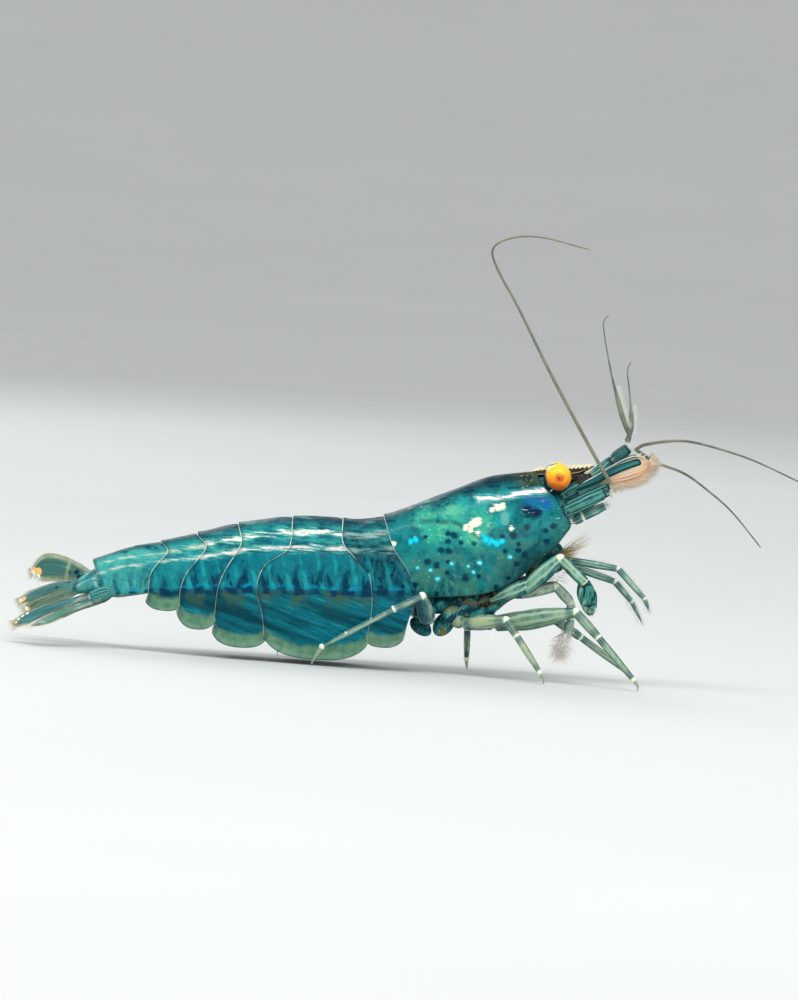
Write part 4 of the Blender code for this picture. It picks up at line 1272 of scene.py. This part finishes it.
def antenna_scale(word):
    """Leaf of the antenna with its rounded midrib, spiny outer edge and long fringe."""
    node = "antenna_scale_" + word
    rows, rib_at, rib = 120, 0.42, 0.16
    line, widths, ways = blade_line(node)
    path, share, wide, way, along = blade_frame(line, widths, ways * np.sign(ways[:, 2:]), rows)
    half = np.maximum(wide, 0.2) * 1.05 / 2
    half *= np.sqrt(1 - np.clip((share - 0.8) / 0.2, 0, 1) ** 2.6 * 0.97)
    turn = turns(60)
    across, high, share = np.cos(turn), half[:, None], share[:, None]
    bulge = np.exp(-((across - rib_at) * high / rib) ** 4) * ease(1 - share, 0.14, 0.26)
    thick = 0.05 + 0.13 * bulge + 0.012 * np.sin(across * 40) * ease(np.abs(across), 0.95, 0.8)
    tip_gap = (1 - share) * travelled(path)[-1]
    shape, tuft = Shape(), Shape()
    shape.solid(leaf(path, way, unit(np.cross(along, way)), high, across, np.sin(turn) * thick),
                share=share, across=across, outer=(1 - across) * high,
                edge=np.minimum((1 - np.abs(across)) * high, tip_gap + 0.02),
                rib=np.hypot((across - rib_at) * high, np.maximum(0.62 - tip_gap, 0)) / rib)
    for at, long in ((0.86, 0.4), (0.93, 0.3)):
        i = int(at * (rows - 1))
        start = path[i] + way[i] * half[i] * 0.94
        podomere(shape, start, start + along[i] * long + way[i] * 0.06, (0.05, 0.035, 0.004),
                 sides=8, rows=10, share=1.0, across=1.0, edge=0.0, rib=3.0, outer=0.0)
    shape.make("scale_leaf_" + word, scale_paint(), "fin", [node])
    at = np.repeat(np.linspace(0.26, 0.99, 110), 4)
    i = (at * (rows - 1)).astype(int)
    roots = path[i] - way[i] * (half[i] * chance.uniform(0.66, 0.98, len(at)))[:, None]
    out = along[i] * mix(0.4, 1.6, at[:, None] ** 3) - way[i] * mix(1.0, 0.35, at[:, None] ** 3)
    edge_fringe(tuft, roots, out, 0.52 + 0.14 * at ** 2, 0.022, jitter=0.14)
    at = np.repeat(np.linspace(-0.95, 0.9, 70), 3)[:, None]
    i = rows - 3
    edge_fringe(tuft, path[i] + way[i] * at * half[i], along[i] + way[i] * at * 0.4, 0.5, 0.02,
                jitter=0.12)
    tuft.make("scale_fringe_" + word, ROSY_BRISTLE, "fin")


# Rods of the antenna's base: how far each starts and ends past it, its place beside it, its radii.
BASE_RODS = ((-0.3, 0.1, 0.0, 0.06, (0.2, 0.27, 0.24)), (-0.2, 0.25, -0.06, 0.33, (0.09, 0.15, 0.13)),
             (-0.05, 0.3, 0.12, 0.19, (0.06, 0.1, 0.08)), (-0.1, 0.15, 0.16, -0.1, (0.07, 0.13, 0.1)),
             (-0.2, 0.0, 0.08, -0.27, (0.07, 0.12, 0.06)), (0.6, 0.3, 0.05, -0.16, (0.1, 0.15, 0.08)))


def antenna_base(side, word):
    """Base of the antenna: a bundle of long clear rods, with a tuft at its end."""
    node = "antenna_base_" + word
    line = middle_line(node)
    start, end = line[0], line[-1]
    along = unit(end - start)
    shape, tuft = Shape(), Shape()
    for back, ahead, out, rise, radii in BASE_RODS:
        shift = np.array((0, side * out, rise))
        podomere(shape, start + along * back + shift, end + along * ahead + shift * 0.9, radii,
                 sides=20, rows=34, far=out * 9, cap=0.0)
    podomere(shape, end - along * 0.2, end + along * 0.22 + (0, 0, 0.14), (0.2, 0.22, 0.16), sides=20,
             cap=0.4)
    shape.make("antenna_base_segments_" + word, antennule_paint(), "feeler", [node])
    out, up = ring_of_ways(along, 70)
    edge_fringe(tuft, end + along * 0.15 - up * 0.1 + out * 0.16, along + out * 0.5 - up * 0.4,
                0.32, 0.016)
    tuft.make("antenna_base_bristles_" + word, PALE_BRISTLE, "feeler")


def palp(word):
    """Two-jointed rod beside the mouth, with a brush at its end."""
    line = middle_line("palp_" + word)
    joints = resample(line, 3, (0, 0.3, 1))
    shape, tuft = Shape(), Shape()
    limb(shape, joints, ((0.2, 0.23, 0.2), (0.2, 0.2, 0.13)))
    shape.make("palp_segments_" + word, limb_paint("palp", (0.12, 0.34, 0.28), (0.02, 0.16, 0.2)),
               "limb", ["palp_" + word])
    along = unit(joints[2] - joints[1])
    ways = along + chance.normal(0, 0.45, (60, 3))
    roots = joints[2] + chance.normal(0, 0.05, (60, 3)) - along * 0.05
    edge_fringe(tuft, roots, ways, 0.3, 0.007)
    tuft.make("palp_brush_" + word, PALE_BRISTLE, "limb")


def maxilliped(word):
    """Slender jaw leg in three segments, bristled along both edges and at its end."""
    node = "maxilliped_" + word
    joints = np.delete(knuckles(node), 1, axis=0)
    shape, tuft = Shape(), Shape()
    limb(shape, joints, ((0.17, 0.19, 0.15), (0.16, 0.15, 0.11), (0.11, 0.09, 0.03)))
    shape.make("maxilliped_segments_" + word,
               limb_paint("maxilliped", (0.1, 0.27, 0.22), (0.01, 0.12, 0.14)), "limb", [node])
    line = resample(joints, 120)
    way = unit(np.gradient(line, axis=0))
    down = np.cross(way, (0, 1, 0))
    down = down * np.sign(-down[:, 2:])
    pick = np.repeat(np.arange(8, 120, 2), 2)
    for aside, lean, sizes, thick in ((1, 0.5, np.where(pick > 84, 0.36, 0.24), 0.012),
                                      (-1, 1 / 0.6, 0.22, 0.011)):
        edge_fringe(tuft, line[pick] + down[pick] * 0.1 * aside, down[pick] * aside + way[pick] * lean,
                    sizes, thick)
    edge_fringe(tuft, line[-3:].mean(0) + chance.normal(0, 0.03, (40, 3)),
                way[-1] + chance.normal(0, 0.3, (40, 3)), 0.3, 0.007)
    tuft.make("maxilliped_bristles_" + word, PALE_BRISTLE, "limb")


# ---------------------------------------------------------------- legs

# The two pairs of clawed legs: the joints that their round segments run through, those segments'
# radii, the hand's radii and where its fingers part, the look, and the brush: how many bristles,
# how long on the hand and past it, how thick.
CLAWED_LEGS = {
    1: ((0, 2, 3, 4), ((0.24, 0.28, 0.22), (0.2, 0.25, 0.22), (0.16, 0.22, 0.18)),
        (0.14, 0.2, 0.15), 0.45, ((0.42, 0.5, 0.42), (0.14, 0.27, 0.24), 0.2), (260, 0.5, 0.85, 0.028)),
    2: ((0, 2, 3), ((0.3, 0.42, 0.3), (0.24, 0.29, 0.27)),
        (0.26, 0.46, 0.4), 0.66, ((0.14, 0.34, 0.28), (0.015, 0.13, 0.14), 1.0), (90, 0.3, 0.3, 0.01)),
}


def clawed_leg(number, side, word):
    """One of the two small clawed legs folded under the mouth."""
    node, name = f"leg_{number}_{word}", f"leg_{number}"
    joints = knuckles(node)
    picked, radii, palm, hinge, look, (count, near, far, thick) = CLAWED_LEGS[number]
    shape, tuft = Shape(), Shape()
    limb(shape, joints[list(picked)], radii)
    if number == 2:
        podomere(shape, joints[0] + (-1.6, -side * 0.3, -0.66), joints[0] + (0.3, side * 0.06, 0.36),
                 (0.1, 0.36, 0.36), sides=24, rows=30, joint=0.6)
    wrist, end = joints[picked[-1]], joints[5]
    way = unit(end - wrist)
    middle = mix(wrist, end, hinge)
    podomere(shape, wrist, middle + way * 0.12, palm, flat=0.7, sides=26, rows=34, palm=1.0)
    for lean in (-1, 1):
        spread = np.cross(way, (0, 1, 0)) * lean
        start = middle - way * 0.14 + spread * palm[2] * 0.42
        podomere(shape, start, end + spread * 0.04, (palm[2] * 0.62, palm[2] * 0.45, 0.05),
                 bow=spread * 0.06, flat=0.75, rows=24, palm=1.0)
    shape.make(f"{name}_segments_{word}", claw_paint(name, *look), "limb", [node])
    share = chance.uniform(0.4, 1.0, count)
    roots = mix(wrist, end, share[:, None]) + chance.normal(0, 0.09, (count, 3))
    ways = way + chance.normal(0, 0.4, (count, 3))
    edge_fringe(tuft, roots, ways, np.where(share > 0.6, far, near), thick)
    tuft.make(f"{name}_brush_{word}", CLEAR_BRISTLE if number == 1 else PALE_BRISTLE, "limb")


def claw_paint(name, light, dark, stripe):
    """Small clawed leg: glassy, with painted shade on its outlines and a painted highlight down its
    sides, and upright dark stripes on its hand.
    """
    paint = Paint(name, roughness=0.25)
    murk = paint.noise(2.0, at=(1, 1, 0.5), detail=4)
    paint.ground(dark, light, (murk, 0.38, 0.62))
    # Painted shade along the outlines and a painted highlight line down the sides.
    paint.glass_painted_light()
    stripes = paint.noise(5.0, at=(1.0, 0.4, 0.18), detail=2)
    hand = paint.over((0.04, 0.2, 0.17), (0.003, 0.04, 0.045), (stripes, 0.5, 0.6))
    hand = paint.over(hand, (0.3, 0.5, 0.36), (stripes, 0.44, 0.36), 0.85)
    paint.lay(hand, "palm", stripe)
    ends = paint.calc("SUBTRACT", 1.0, "palm")
    paint.lay(BONE, ("joint", 0.14, 0.06), ends)
    dark_end = paint.times("palm", stripe, ("joint", 0.2, 0.06))
    paint.lay((0.003, 0.03, 0.04), dark_end)
    return paint.finish((murk, 0.03))


# Each walking leg's three long segments as radii, its light and dark tones, and its dots.
LEG_LOOKS = {
    3: ((0.32, 0.5, 0.23), (0.22, 0.24, 0.2), (0.18, 0.18, 0.13),
        (0.23, 0.38, 0.21), (0.04, 0.18, 0.14), 0.0),
    4: ((0.3, 0.4, 0.2), (0.2, 0.2, 0.18), (0.17, 0.17, 0.12),
        (0.52, 0.58, 0.32), (0.08, 0.22, 0.18), 0.0),
    5: ((0.34, 0.42, 0.22), (0.2, 0.22, 0.19), (0.17, 0.16, 0.11),
        (0.14, 0.32, 0.3), (0.02, 0.14, 0.17), 0.9),
}


def walking_leg(number, side, word):
    """Walking leg in five segments, with a hooked toe that stands on the floor."""
    node, name = f"leg_{number}_{word}", f"leg_{number}"
    root, hip, knee, ankle, wrist, toe, floor = knuckles(node, 2)
    *radii, light, dark, dots = LEG_LOOKS[number]
    shape = Shape()
    podomere(shape, root + (0, -side * 0.2, 0.15), hip, (0.36, 0.42, 0.34), sides=24, joint=0.6)
    limb(shape, (hip, knee, ankle, wrist), radii, ball=1.08, sides=22, rows=34)
    lump(shape, wrist, (0.15,) * 3, rows=10, columns=14, joint=0.0)
    line = resample(np.array((wrist, mix(wrist, toe, 0.2), toe + (0, 0, -0.06),
                              floor + (0, 0, 0.012))), 24)
    share = np.linspace(0, 1, 24)
    size = smooth(((0, 0.11), (0.4, 0.085), (0.8, 0.04), (1, 0.012)), share)
    shape.solid(tube(line, size, 12), joint=0.6, claw=mix(0.2, 1, share[:, None]), along=5.0, around=0.1)
    spikes(shape, (ankle, wrist), 0.15, 7, 0.13, (0.15 if number != 5 else 0.2, 0, -0.9))
    spikes(shape, (hip, knee), 0.4, 3, 0.16, (0.2, side * 0.3, -0.9))
    shape.make(f"{name}_segments_{word}", limb_paint(name, light, dark, 0.25, dots), "limb", [node])


# ---------------------------------------------------------------- underside

def sternum():
    """Plate between the legs, with the swollen muscles at their roots showing through."""
    shape = Shape()
    x = np.linspace(0.6, 5.6, 60)[:, None]
    turn = turns(36)
    low = smooth(((0.6, 3.1), (2.0, 2.85), (3.4, 2.95), (4.6, 3.35), (5.6, 4.2)), x)
    low -= 0.05 * np.sin(x * 6)
    top = smooth(((0.6, 3.9), (3.4, 4.2), (5.6, 5.0)), x)
    wide = smooth(((0.6, 0.7), (2.0, 0.95), (3.4, 0.95), (4.6, 0.8), (5.6, 0.5)), x)
    places = np.stack((x + turn * 0, wide * np.cos(turn),
                       (top + low) / 2 + (top - low) / 2 * np.sin(turn)), 2)
    shape.solid(places[:, ::-1])
    for side, word in SIDES:
        for number in (3, 4, 5):
            root = knuckles(f"leg_{number}_{word}", 2)[0]
            lump(shape, root + (-0.1, side * 0.12, 0.2), (0.55, 0.36, 0.44), lean=0.5)
            lump(shape, root + (0.4, side * 0.16, 0.45), (0.5, 0.26, 0.24), lean=0.7)
        lump(shape, (1.95, side * 0.62, 2.42), (0.66, 0.3, 0.46), lean=0.9)
        lump(shape, (0.8, side * 0.6, 2.2), (0.6, 0.3, 0.36), lean=-0.5)
        for number in (1, 2):
            root = knuckles(f"leg_{number}_{word}")[0]
            lump(shape, root + (0, side * 0.05, 0.15), (0.42, 0.3, 0.36))
    shape.make("sternum_lumps", coxa_paint(), "underside", ["sternum"])


def coxa_paint():
    """Clear skin in folds, from navy through teal to yellow-brown, with pale flecks."""
    paint = Paint("coxae", roughness=0.26)
    murk = paint.noise(1.7, detail=5, distortion=0.8)
    tone = paint.noise(0.9)
    paint.ground((0.003, 0.05, 0.07), (0.02, 0.2, 0.2), (murk, 0.42, 0.6))
    brown = paint.over((0.02, 0.03, 0.015), (0.16, 0.15, 0.055), (murk, 0.4, 0.58))
    paint.lay(brown, (tone, 0.53, 0.63))
    folds = paint.noise(5.0, at=(1.0, 1.0, 0.35))
    paint.lay((0.3, 0.42, 0.3), (folds, 0.6, 0.68), 0.6)
    paint.lay((0.002, 0.025, 0.03), (folds, 0.4, 0.32), 0.8)
    flecks = paint.cells(5.0)
    paint.lay((0.5, 0.6, 0.45), (flecks, 0.14, 0.08), 0.7)
    return paint.finish((murk, 0.06), (folds, 0.02))


def mouthparts():
    """Overlapping lobes of the jaws."""
    shape = Shape()
    low, high = box_of("mouthparts")
    for side, _ in SIDES:
        for along, out, up, size in ((0.15, 0.3, 0.3, 0.46), (0.42, 0.38, 0.42, 0.5),
                                     (0.68, 0.36, 0.55, 0.5), (0.9, 0.3, 0.62, 0.42),
                                     (0.55, 0.2, 0.8, 0.6), (0.25, 0.25, 0.6, 0.55)):
            centre = mix(low, high, np.array((along, 0.5, up))) * (1, 0, 1) + (0, side * out, 0)
            lump(shape, centre, (size * 1.1, size * 0.7, size), lean=0.5)
    shape.make("mouth_lobes", coxa_paint(), "underside", ["mouthparts"])
    tuft = Shape()
    count = 160
    share = chance.uniform(0, 1, (count, 3))
    roots = mix(low, high, share * (1, 1, 0.35))
    ways = np.array((0.9, 0, -0.35)) + chance.normal(0, 0.3, (count, 3))
    edge_fringe(tuft, roots, ways, 0.3, 0.008)
    for side, _ in SIDES:
        fan = np.linspace(-0.1, 0.72, 54)
        roots = np.array((7.4, side * 0.75, 6.3)) + chance.normal(0, 0.1, (54, 3))
        ways = np.stack((np.cos(fan), side * 0.15 + fan * 0, np.sin(fan)), 1)
        edge_fringe(tuft, roots, ways, 1.0 + 0.9 * ease(fan, 0.2, 0.6), 0.014, jitter=0.04)
    tuft.make("mouth_bristles", AMBER_BRISTLE, "underside")


def pleopod(number, side, word):
    """Swimming leg: a stalk and two feathery blades folded forward under the belly."""
    node, rows = f"pleopod_{number}_{word}", 44
    line = middle_line(node)
    shape, tuft = Shape(), Shape()
    hip = mix(line[0], line[-1], 0.4)
    podomere(shape, line[0] + (0, 0, 0.15), hip, (0.24, 0.28, 0.2), share=0.2, across=0.0, edge=0.3,
             dots=9.0)
    share, turn = np.linspace(0, 1, rows), turns(24)
    across = np.cos(turn)
    for lean, spread in ((0.0, 0.12), (0.35, -0.16)):
        end = line[-1] + (0.1 * lean, side * spread, lean * 0.4)
        path = mix(hip, end, share[:, None]) + np.sin(share * math.pi)[:, None] * (0.1, 0, -0.12)
        wide = 0.42 * np.sqrt(np.clip(np.sin((share * 0.94 + 0.04) * math.pi), 0, 1))[:, None]
        along = unit(np.gradient(path, axis=0))
        way = unit(np.cross(along, (0, side, 0.25)))
        shape.solid(leaf(path, way, np.cross(along, way), wide, across, np.sin(turn) * 0.05),
                    share=share[:, None], across=across, edge=(1 - np.abs(across)) * wide, dots=9.0)
        for edge in (-1, 1):
            pick = slice(10, rows)
            edge_fringe(tuft, path[pick] + way[pick] * wide[pick] * 0.96 * edge,
                        way[pick] * edge * 0.6 + along[pick], 0.35, 0.008)
    shape.make(f"pleopod_{number}_blades_{word}", blade_paint(f"pleopod_{number}", (0.006, 0.2, 0.25)),
               "swimmer", [node])
    tuft.make(f"pleopod_{number}_fringe_{word}", PALE_BRISTLE, "swimmer")


# ---------------------------------------------------------------- tail

def tail_blade(node, name, paint, marks, roll, seam=None, fringe_from=0.8, rounded=0.16,
               reach=1.0, broad=1.0, lift=0.0):
    """Blade of the tail fan along its CAD node, ribbed, marked and fringed."""
    rows = 130
    line, widths, ways = blade_line(node)
    line = line[0] + (line - line[0]) * reach + (0, 0, lift)
    if ways[0] @ np.array((0, -1, 0.2)) > 0:
        ways = -ways
    path, share, wide, way, along = blade_frame(line, widths * broad / 2, ways, rows)
    wide *= np.sqrt(np.clip(1 - np.clip((share - 1 + rounded) / rounded, 0, 1) ** 2.2, 0.003, 1))
    face = unit(np.cross(along, way))
    face = face * np.sign(face[:, 2:])
    tilt = (math.radians(roll) * ease(share, 0, 0.4))[:, None]
    way, face = way * np.cos(tilt) + face * np.sin(tilt), face * np.cos(tilt) - way * np.sin(tilt)
    turn = turns(64)
    across, half, share = np.cos(turn), wide[:, None], share[:, None]
    rib = np.exp(-(across / 0.16) ** 2) + 0.6 * np.exp(-((np.abs(across) - 0.55) / 0.1) ** 2)
    thick = mix(0.2, 0.06, share) * (0.7 + 0.5 * rib * (1 - share))
    long = travelled(path)[-1]
    layers = {"share": share, "across": across,
              "edge": np.minimum((1 - np.abs(across)) * half, (1 - share) * long), "seam": 0.0}
    for key in ("dots", "amber", "white"):
        made = np.full((rows, turn.size), 9.0)
        for at, aside, size in marks.get(key, ()):
            gap = np.hypot((share - at) * long, (across - aside) * half)
            made = np.minimum(made, gap / size)
        layers[key] = made if key == "dots" else ease(made, 1.15, 0.7)
    if seam:
        layers["seam"] = np.exp(-((share - seam - 0.03 * across) * long / 0.09) ** 2)
    shape, tuft = Shape(), Shape()
    shape.solid(leaf(path, way, face, half, across, np.sin(turn) * thick - across ** 2 * 0.06 * half),
                **layers)
    shape.make(name, blade_paint(name, *paint), "fin", [node])
    at = np.linspace(fringe_from, 0.985, 130)
    i = (at * (rows - 1)).astype(int)
    for side in (-1, 1):
        out = way[i] * side * mix(0.5, 0.25, at[:, None]) + along[i] * mix(0.9, 1.4, at[:, None])
        edge_fringe(tuft, path[i] + way[i] * half[i] * side * 0.97, out, mix(0.12, 0.3, at), 0.009,
                    jitter=0.07)
    at = np.repeat(np.linspace(-0.95, 0.95, 40), 2)[:, None]
    i = rows - 2
    edge_fringe(tuft, path[i] + way[i] * at * wide[i - 4], along[i] + way[i] * at * 0.3, 0.38, 0.01,
                jitter=0.08)
    tuft.make(name + "_fringe", CREAM_BRISTLE, "fin")


def tail_base():
    """Short limb bases that join the tail blades to the last ring."""
    shape = Shape()
    rows, sides = 40, 32
    along = np.linspace(0, 1, rows)[:, None]
    looks = {"edge": 0.3, "dots": 9.0, "rows": rows, "sides": sides, "across": np.sin(turns(sides))}
    podomere(shape, (-14.8, 0, 3.72), (-16.7, 0, 2.78), (0.68, 0.5, 0.24), flat=1.3, blunt=1.2,
             share=along * 0.3, white=ease(along, 0.2, 0.35) * ease(along, 0.5, 0.38) * 0.36, **looks)
    for side, drop in ((RIGHT, 0.3), (LEFT, 0.0)):
        podomere(shape, (-14.5, side * 0.72, 3.0 - drop * 0.3), (-15.8, side * 1.15, 2.75 - drop),
                 (0.12, 0.4, 0.3), flat=1.1, share=0.25 + along * 0.4,
                 white=ease(along, 0.86, 0.93) * 0.8, **looks)
        podomere(shape, (-15.1, side * 0.5, 3.45 - drop * 0.5), (-16.5, side * 0.9, 3.1 - drop),
                 (0.34, 0.36, 0.2), share=0.1 + along * 0.3,
                 white=ease(along, 0.3, 0.38) * ease(along, 0.5, 0.42) * 0.36, **looks)
    shape.make("tail_base", blade_paint("tail_base", (0.06, 0.32, 0.3)), "fin")


def tail_fan():
    """Telson and the four blades beside it; marks are (share along, place across, radius in mm)."""
    tail_blade("telson", "telson_blade", ((0.13, 0.22, 0.13),),
               {"amber": ((0.95, 0, 0.1),), "dots": ((0.2, 0.5, 0.07), (0.42, -0.4, 0.06)),
                "white": ((0.98, 0.3, 0.12),)}, roll=38, fringe_from=0.92, broad=1.2)
    tail_blade("uropod_outer_left", "tail_outer_left", ((0.045, 0.16, 0.14), 0.25, 0.26),
               {"dots": ((0.38, 0.1, 0.16), (0.48, -0.2, 0.13), (0.33, -0.3, 0.12)),
                "amber": ((0.89, -0.3, 0.22), (0.95, 0.1, 0.14)),
                "white": ((0.985, -0.6, 0.2), (0.9, -0.8, 0.13))},
               roll=24, seam=0.5, fringe_from=0.6, rounded=0.26)
    tail_blade("uropod_inner_left", "tail_inner_left", ((0.04, 0.17, 0.16), 0.6),
               {"dots": ((0.3, 0.3, 0.1), (0.45, -0.2, 0.08), (0.12, 0, 0.08)),
                "amber": ((0.93, 0, 0.16),), "white": ((0.995, 0, 0.16),)}, roll=26)
    tail_blade("uropod_inner_right", "tail_inner_right", ((0.03, 0.19, 0.2),),
               {"white": ((0.86, 0.6, 0.1), (0.8, 0.6, 0.09), (0.92, 0.5, 0.09), (0.03, 0, 0.14)),
                "amber": ((0.96, 0.1, 0.08),)}, roll=44, lift=0.14)
    tail_blade("uropod_outer_right", "tail_outer_right", ((0.05, 0.24, 0.17), 0.8),
               {"white": ((0.02, 0, 0.14),), "dots": ((0.5, 0.3, 0.06),)},
               roll=30, seam=0.86, fringe_from=0.6, rounded=0.3, reach=0.78, broad=0.75)


# ---------------------------------------------------------------- room

def room():
    """Pale floor that sweeps up all round into a plain backdrop."""
    columns = 96
    profile = np.array(((0.0, 0.0), (0.4, 0.0), (0.7, 0.005), (1.0, 0.03), (1.3, 0.1), (1.5, 0.22),
                        (1.62, 0.4), (1.66, 0.6)))
    far = travelled(profile)
    radius, height = follow(far, profile, np.linspace(0, far[-1], 60)).T[..., None]
    radius, turn = np.maximum(radius, 0.002), turns(columns)
    places = np.stack((radius * np.cos(turn), radius * np.sin(turn), height + turn * 0), 2)
    shape = Shape()
    shape.grid(places[:, ::-1], wrap=True)
    shape.faces.append(list(range(columns))[::-1])
    mesh = bpy.data.meshes.new("floor")
    mesh.from_pydata(np.vstack(shape.corners).tolist(), [], shape.faces)
    mesh.shade_smooth()
    floor = bpy.data.objects.new("floor", mesh)
    bpy.context.scene.collection.objects.link(floor)
    paint = Paint("floor", roughness=0.7, film=0)
    paint.ground((0.62, 0.64, 0.63), (0.68, 0.7, 0.69), paint.noise(0.02, detail=2))
    mesh.materials.append(paint.finish())
    floor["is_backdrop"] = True


def lamp(name, place, aim, size, power, colour=(1, 1, 1)):
    """Soft area light aimed at a point."""
    data = bpy.data.lights.new(name, "AREA")
    data.shape = "RECTANGLE"
    data.size, data.size_y = size
    data.energy = power
    data.color = colour
    light = bpy.data.objects.new(name, data)
    light.location = place
    way = Vector(aim) - Vector(place)
    light.rotation_euler = way.to_track_quat("-Z", "Y").to_euler()
    bpy.context.scene.collection.objects.link(light)


def lights():
    """Overhead strip, broad front light, soft back light and a grey world."""
    lamp("overhead", (-0.02, -0.1, 0.24), (0, 0, 0.006), (0.3, 0.035), 0.42)
    lamp("front", (0.1, -0.4, 0.12), (0, 0, 0.008), (0.22, 0.22), 0.55, (1.0, 0.98, 0.95))
    lamp("back", (-0.15, 0.3, 0.2), (0, 0, 0.008), (0.25, 0.2), 0.35, (0.95, 0.98, 1.0))
    world = bpy.data.worlds.new("studio")
    world.use_nodes = True
    world.node_tree.nodes["Background"].inputs["Color"].default_value = (0.98, 0.99, 1.0, 1)
    world.node_tree.nodes["Background"].inputs["Strength"].default_value = 0.75
    bpy.context.scene.world = world


def camera():
    """Long lens from the animal's right, a little above it and slightly rolled."""
    data = bpy.data.cameras.new("camera")
    data.lens, data.sensor_width = 216, 36  # in mm
    data.clip_start, data.clip_end = 0.001, 10
    distance = 0.3
    thing = bpy.data.objects.new("camera", data)
    rise, roll = math.radians(2.5), math.radians(4.25)
    view = Vector((0, math.cos(rise), -math.sin(rise)))
    level, upright = Vector((1, 0, 0)), Vector((0, math.sin(rise), math.cos(rise)))
    right = level * math.cos(roll) + upright * math.sin(roll)
    up = upright * math.cos(roll) - level * math.sin(roll)
    target = Vector((-0.75, 0, 8.45)) * MM
    thing.matrix_world = Matrix((right, up, -view)).transposed().to_4x4()
    thing.location = target - view * distance
    bpy.context.scene.collection.objects.link(thing)
    bpy.context.scene.camera = thing
    bpy.context.scene.view_settings.view_transform = "Standard"


# ---------------------------------------------------------------- everything, in order

PALE_BRISTLE = bristle_paint("pale_bristle", (0.5, 0.58, 0.45), (0.85, 0.88, 0.78))
CREAM_BRISTLE = bristle_paint("cream_bristle", (0.55, 0.42, 0.25), (0.85, 0.88, 0.75))
ROSY_BRISTLE = bristle_paint("rosy_bristle", (0.7, 0.42, 0.27), (0.7, 0.6, 0.47))
CLEAR_BRISTLE = bristle_paint("clear_bristle", (0.7, 0.76, 0.72), (0.96, 0.88, 0.86))
AMBER_BRISTLE = bristle_paint("amber_bristle", (0.16, 0.13, 0.05), (0.5, 0.42, 0.2))

camera()
room()
lights()
carapace()
for ring_number in range(1, 7):
    abdomen_ring(ring_number)
flesh()
rostrum()
sternum()
mouthparts()
OUTER_FEELER = feeler_paint("outer_feeler", (0.16, 0.2, 0.13), (0.04, 0.07, 0.06))
INNER_FEELER = feeler_paint("inner_feeler", (0.16, 0.17, 0.12), (0.05, 0.06, 0.05))
LONG_FEELER = feeler_paint("long_feeler", (0.2, 0.2, 0.12), (0.11, 0.13, 0.09))
for side_number, side_word in SIDES:
    eye(side_number, side_word)
    antennule(side_number, side_word)
    feeler("antennule_outer_" + side_word, "antennule_outer_feeler_" + side_word,
           ((0, 0.12), (0.3, 0.125), (0.4, 0.075), (0.52, 0.05), (1, 0.025)), 0.11, 0.12,
           OUTER_FEELER, (0.08, 0.42, -1.0, 0.3))
    feeler("antennule_inner_" + side_word, "antennule_inner_feeler_" + side_word,
           ((0, 0.09), (0.3, 0.065), (1, 0.03)), 0.1, 0.2, INNER_FEELER)
    feeler("antenna_" + side_word, "antenna_feeler_" + side_word,
           ((0, 0.1), (0.06, 0.095), (0.5, 0.07), (1, 0.035)), 0.12, 0.05, LONG_FEELER, begin=0.022)
    antenna_scale(side_word)
    antenna_base(side_number, side_word)
    palp(side_word)
    maxilliped(side_word)
    for leg_number in (1, 2):
        clawed_leg(leg_number, side_number, side_word)
    for leg_number in (3, 4, 5):
        walking_leg(leg_number, side_number, side_word)
    for leg_number in range(1, 6):
        pleopod(leg_number, side_number, side_word)
tail_base()
tail_fan()

boxes = {"cad": cad_box, "visual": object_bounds()}
{key: [list(corner) for corner in box] for key, box in boxes.items()}
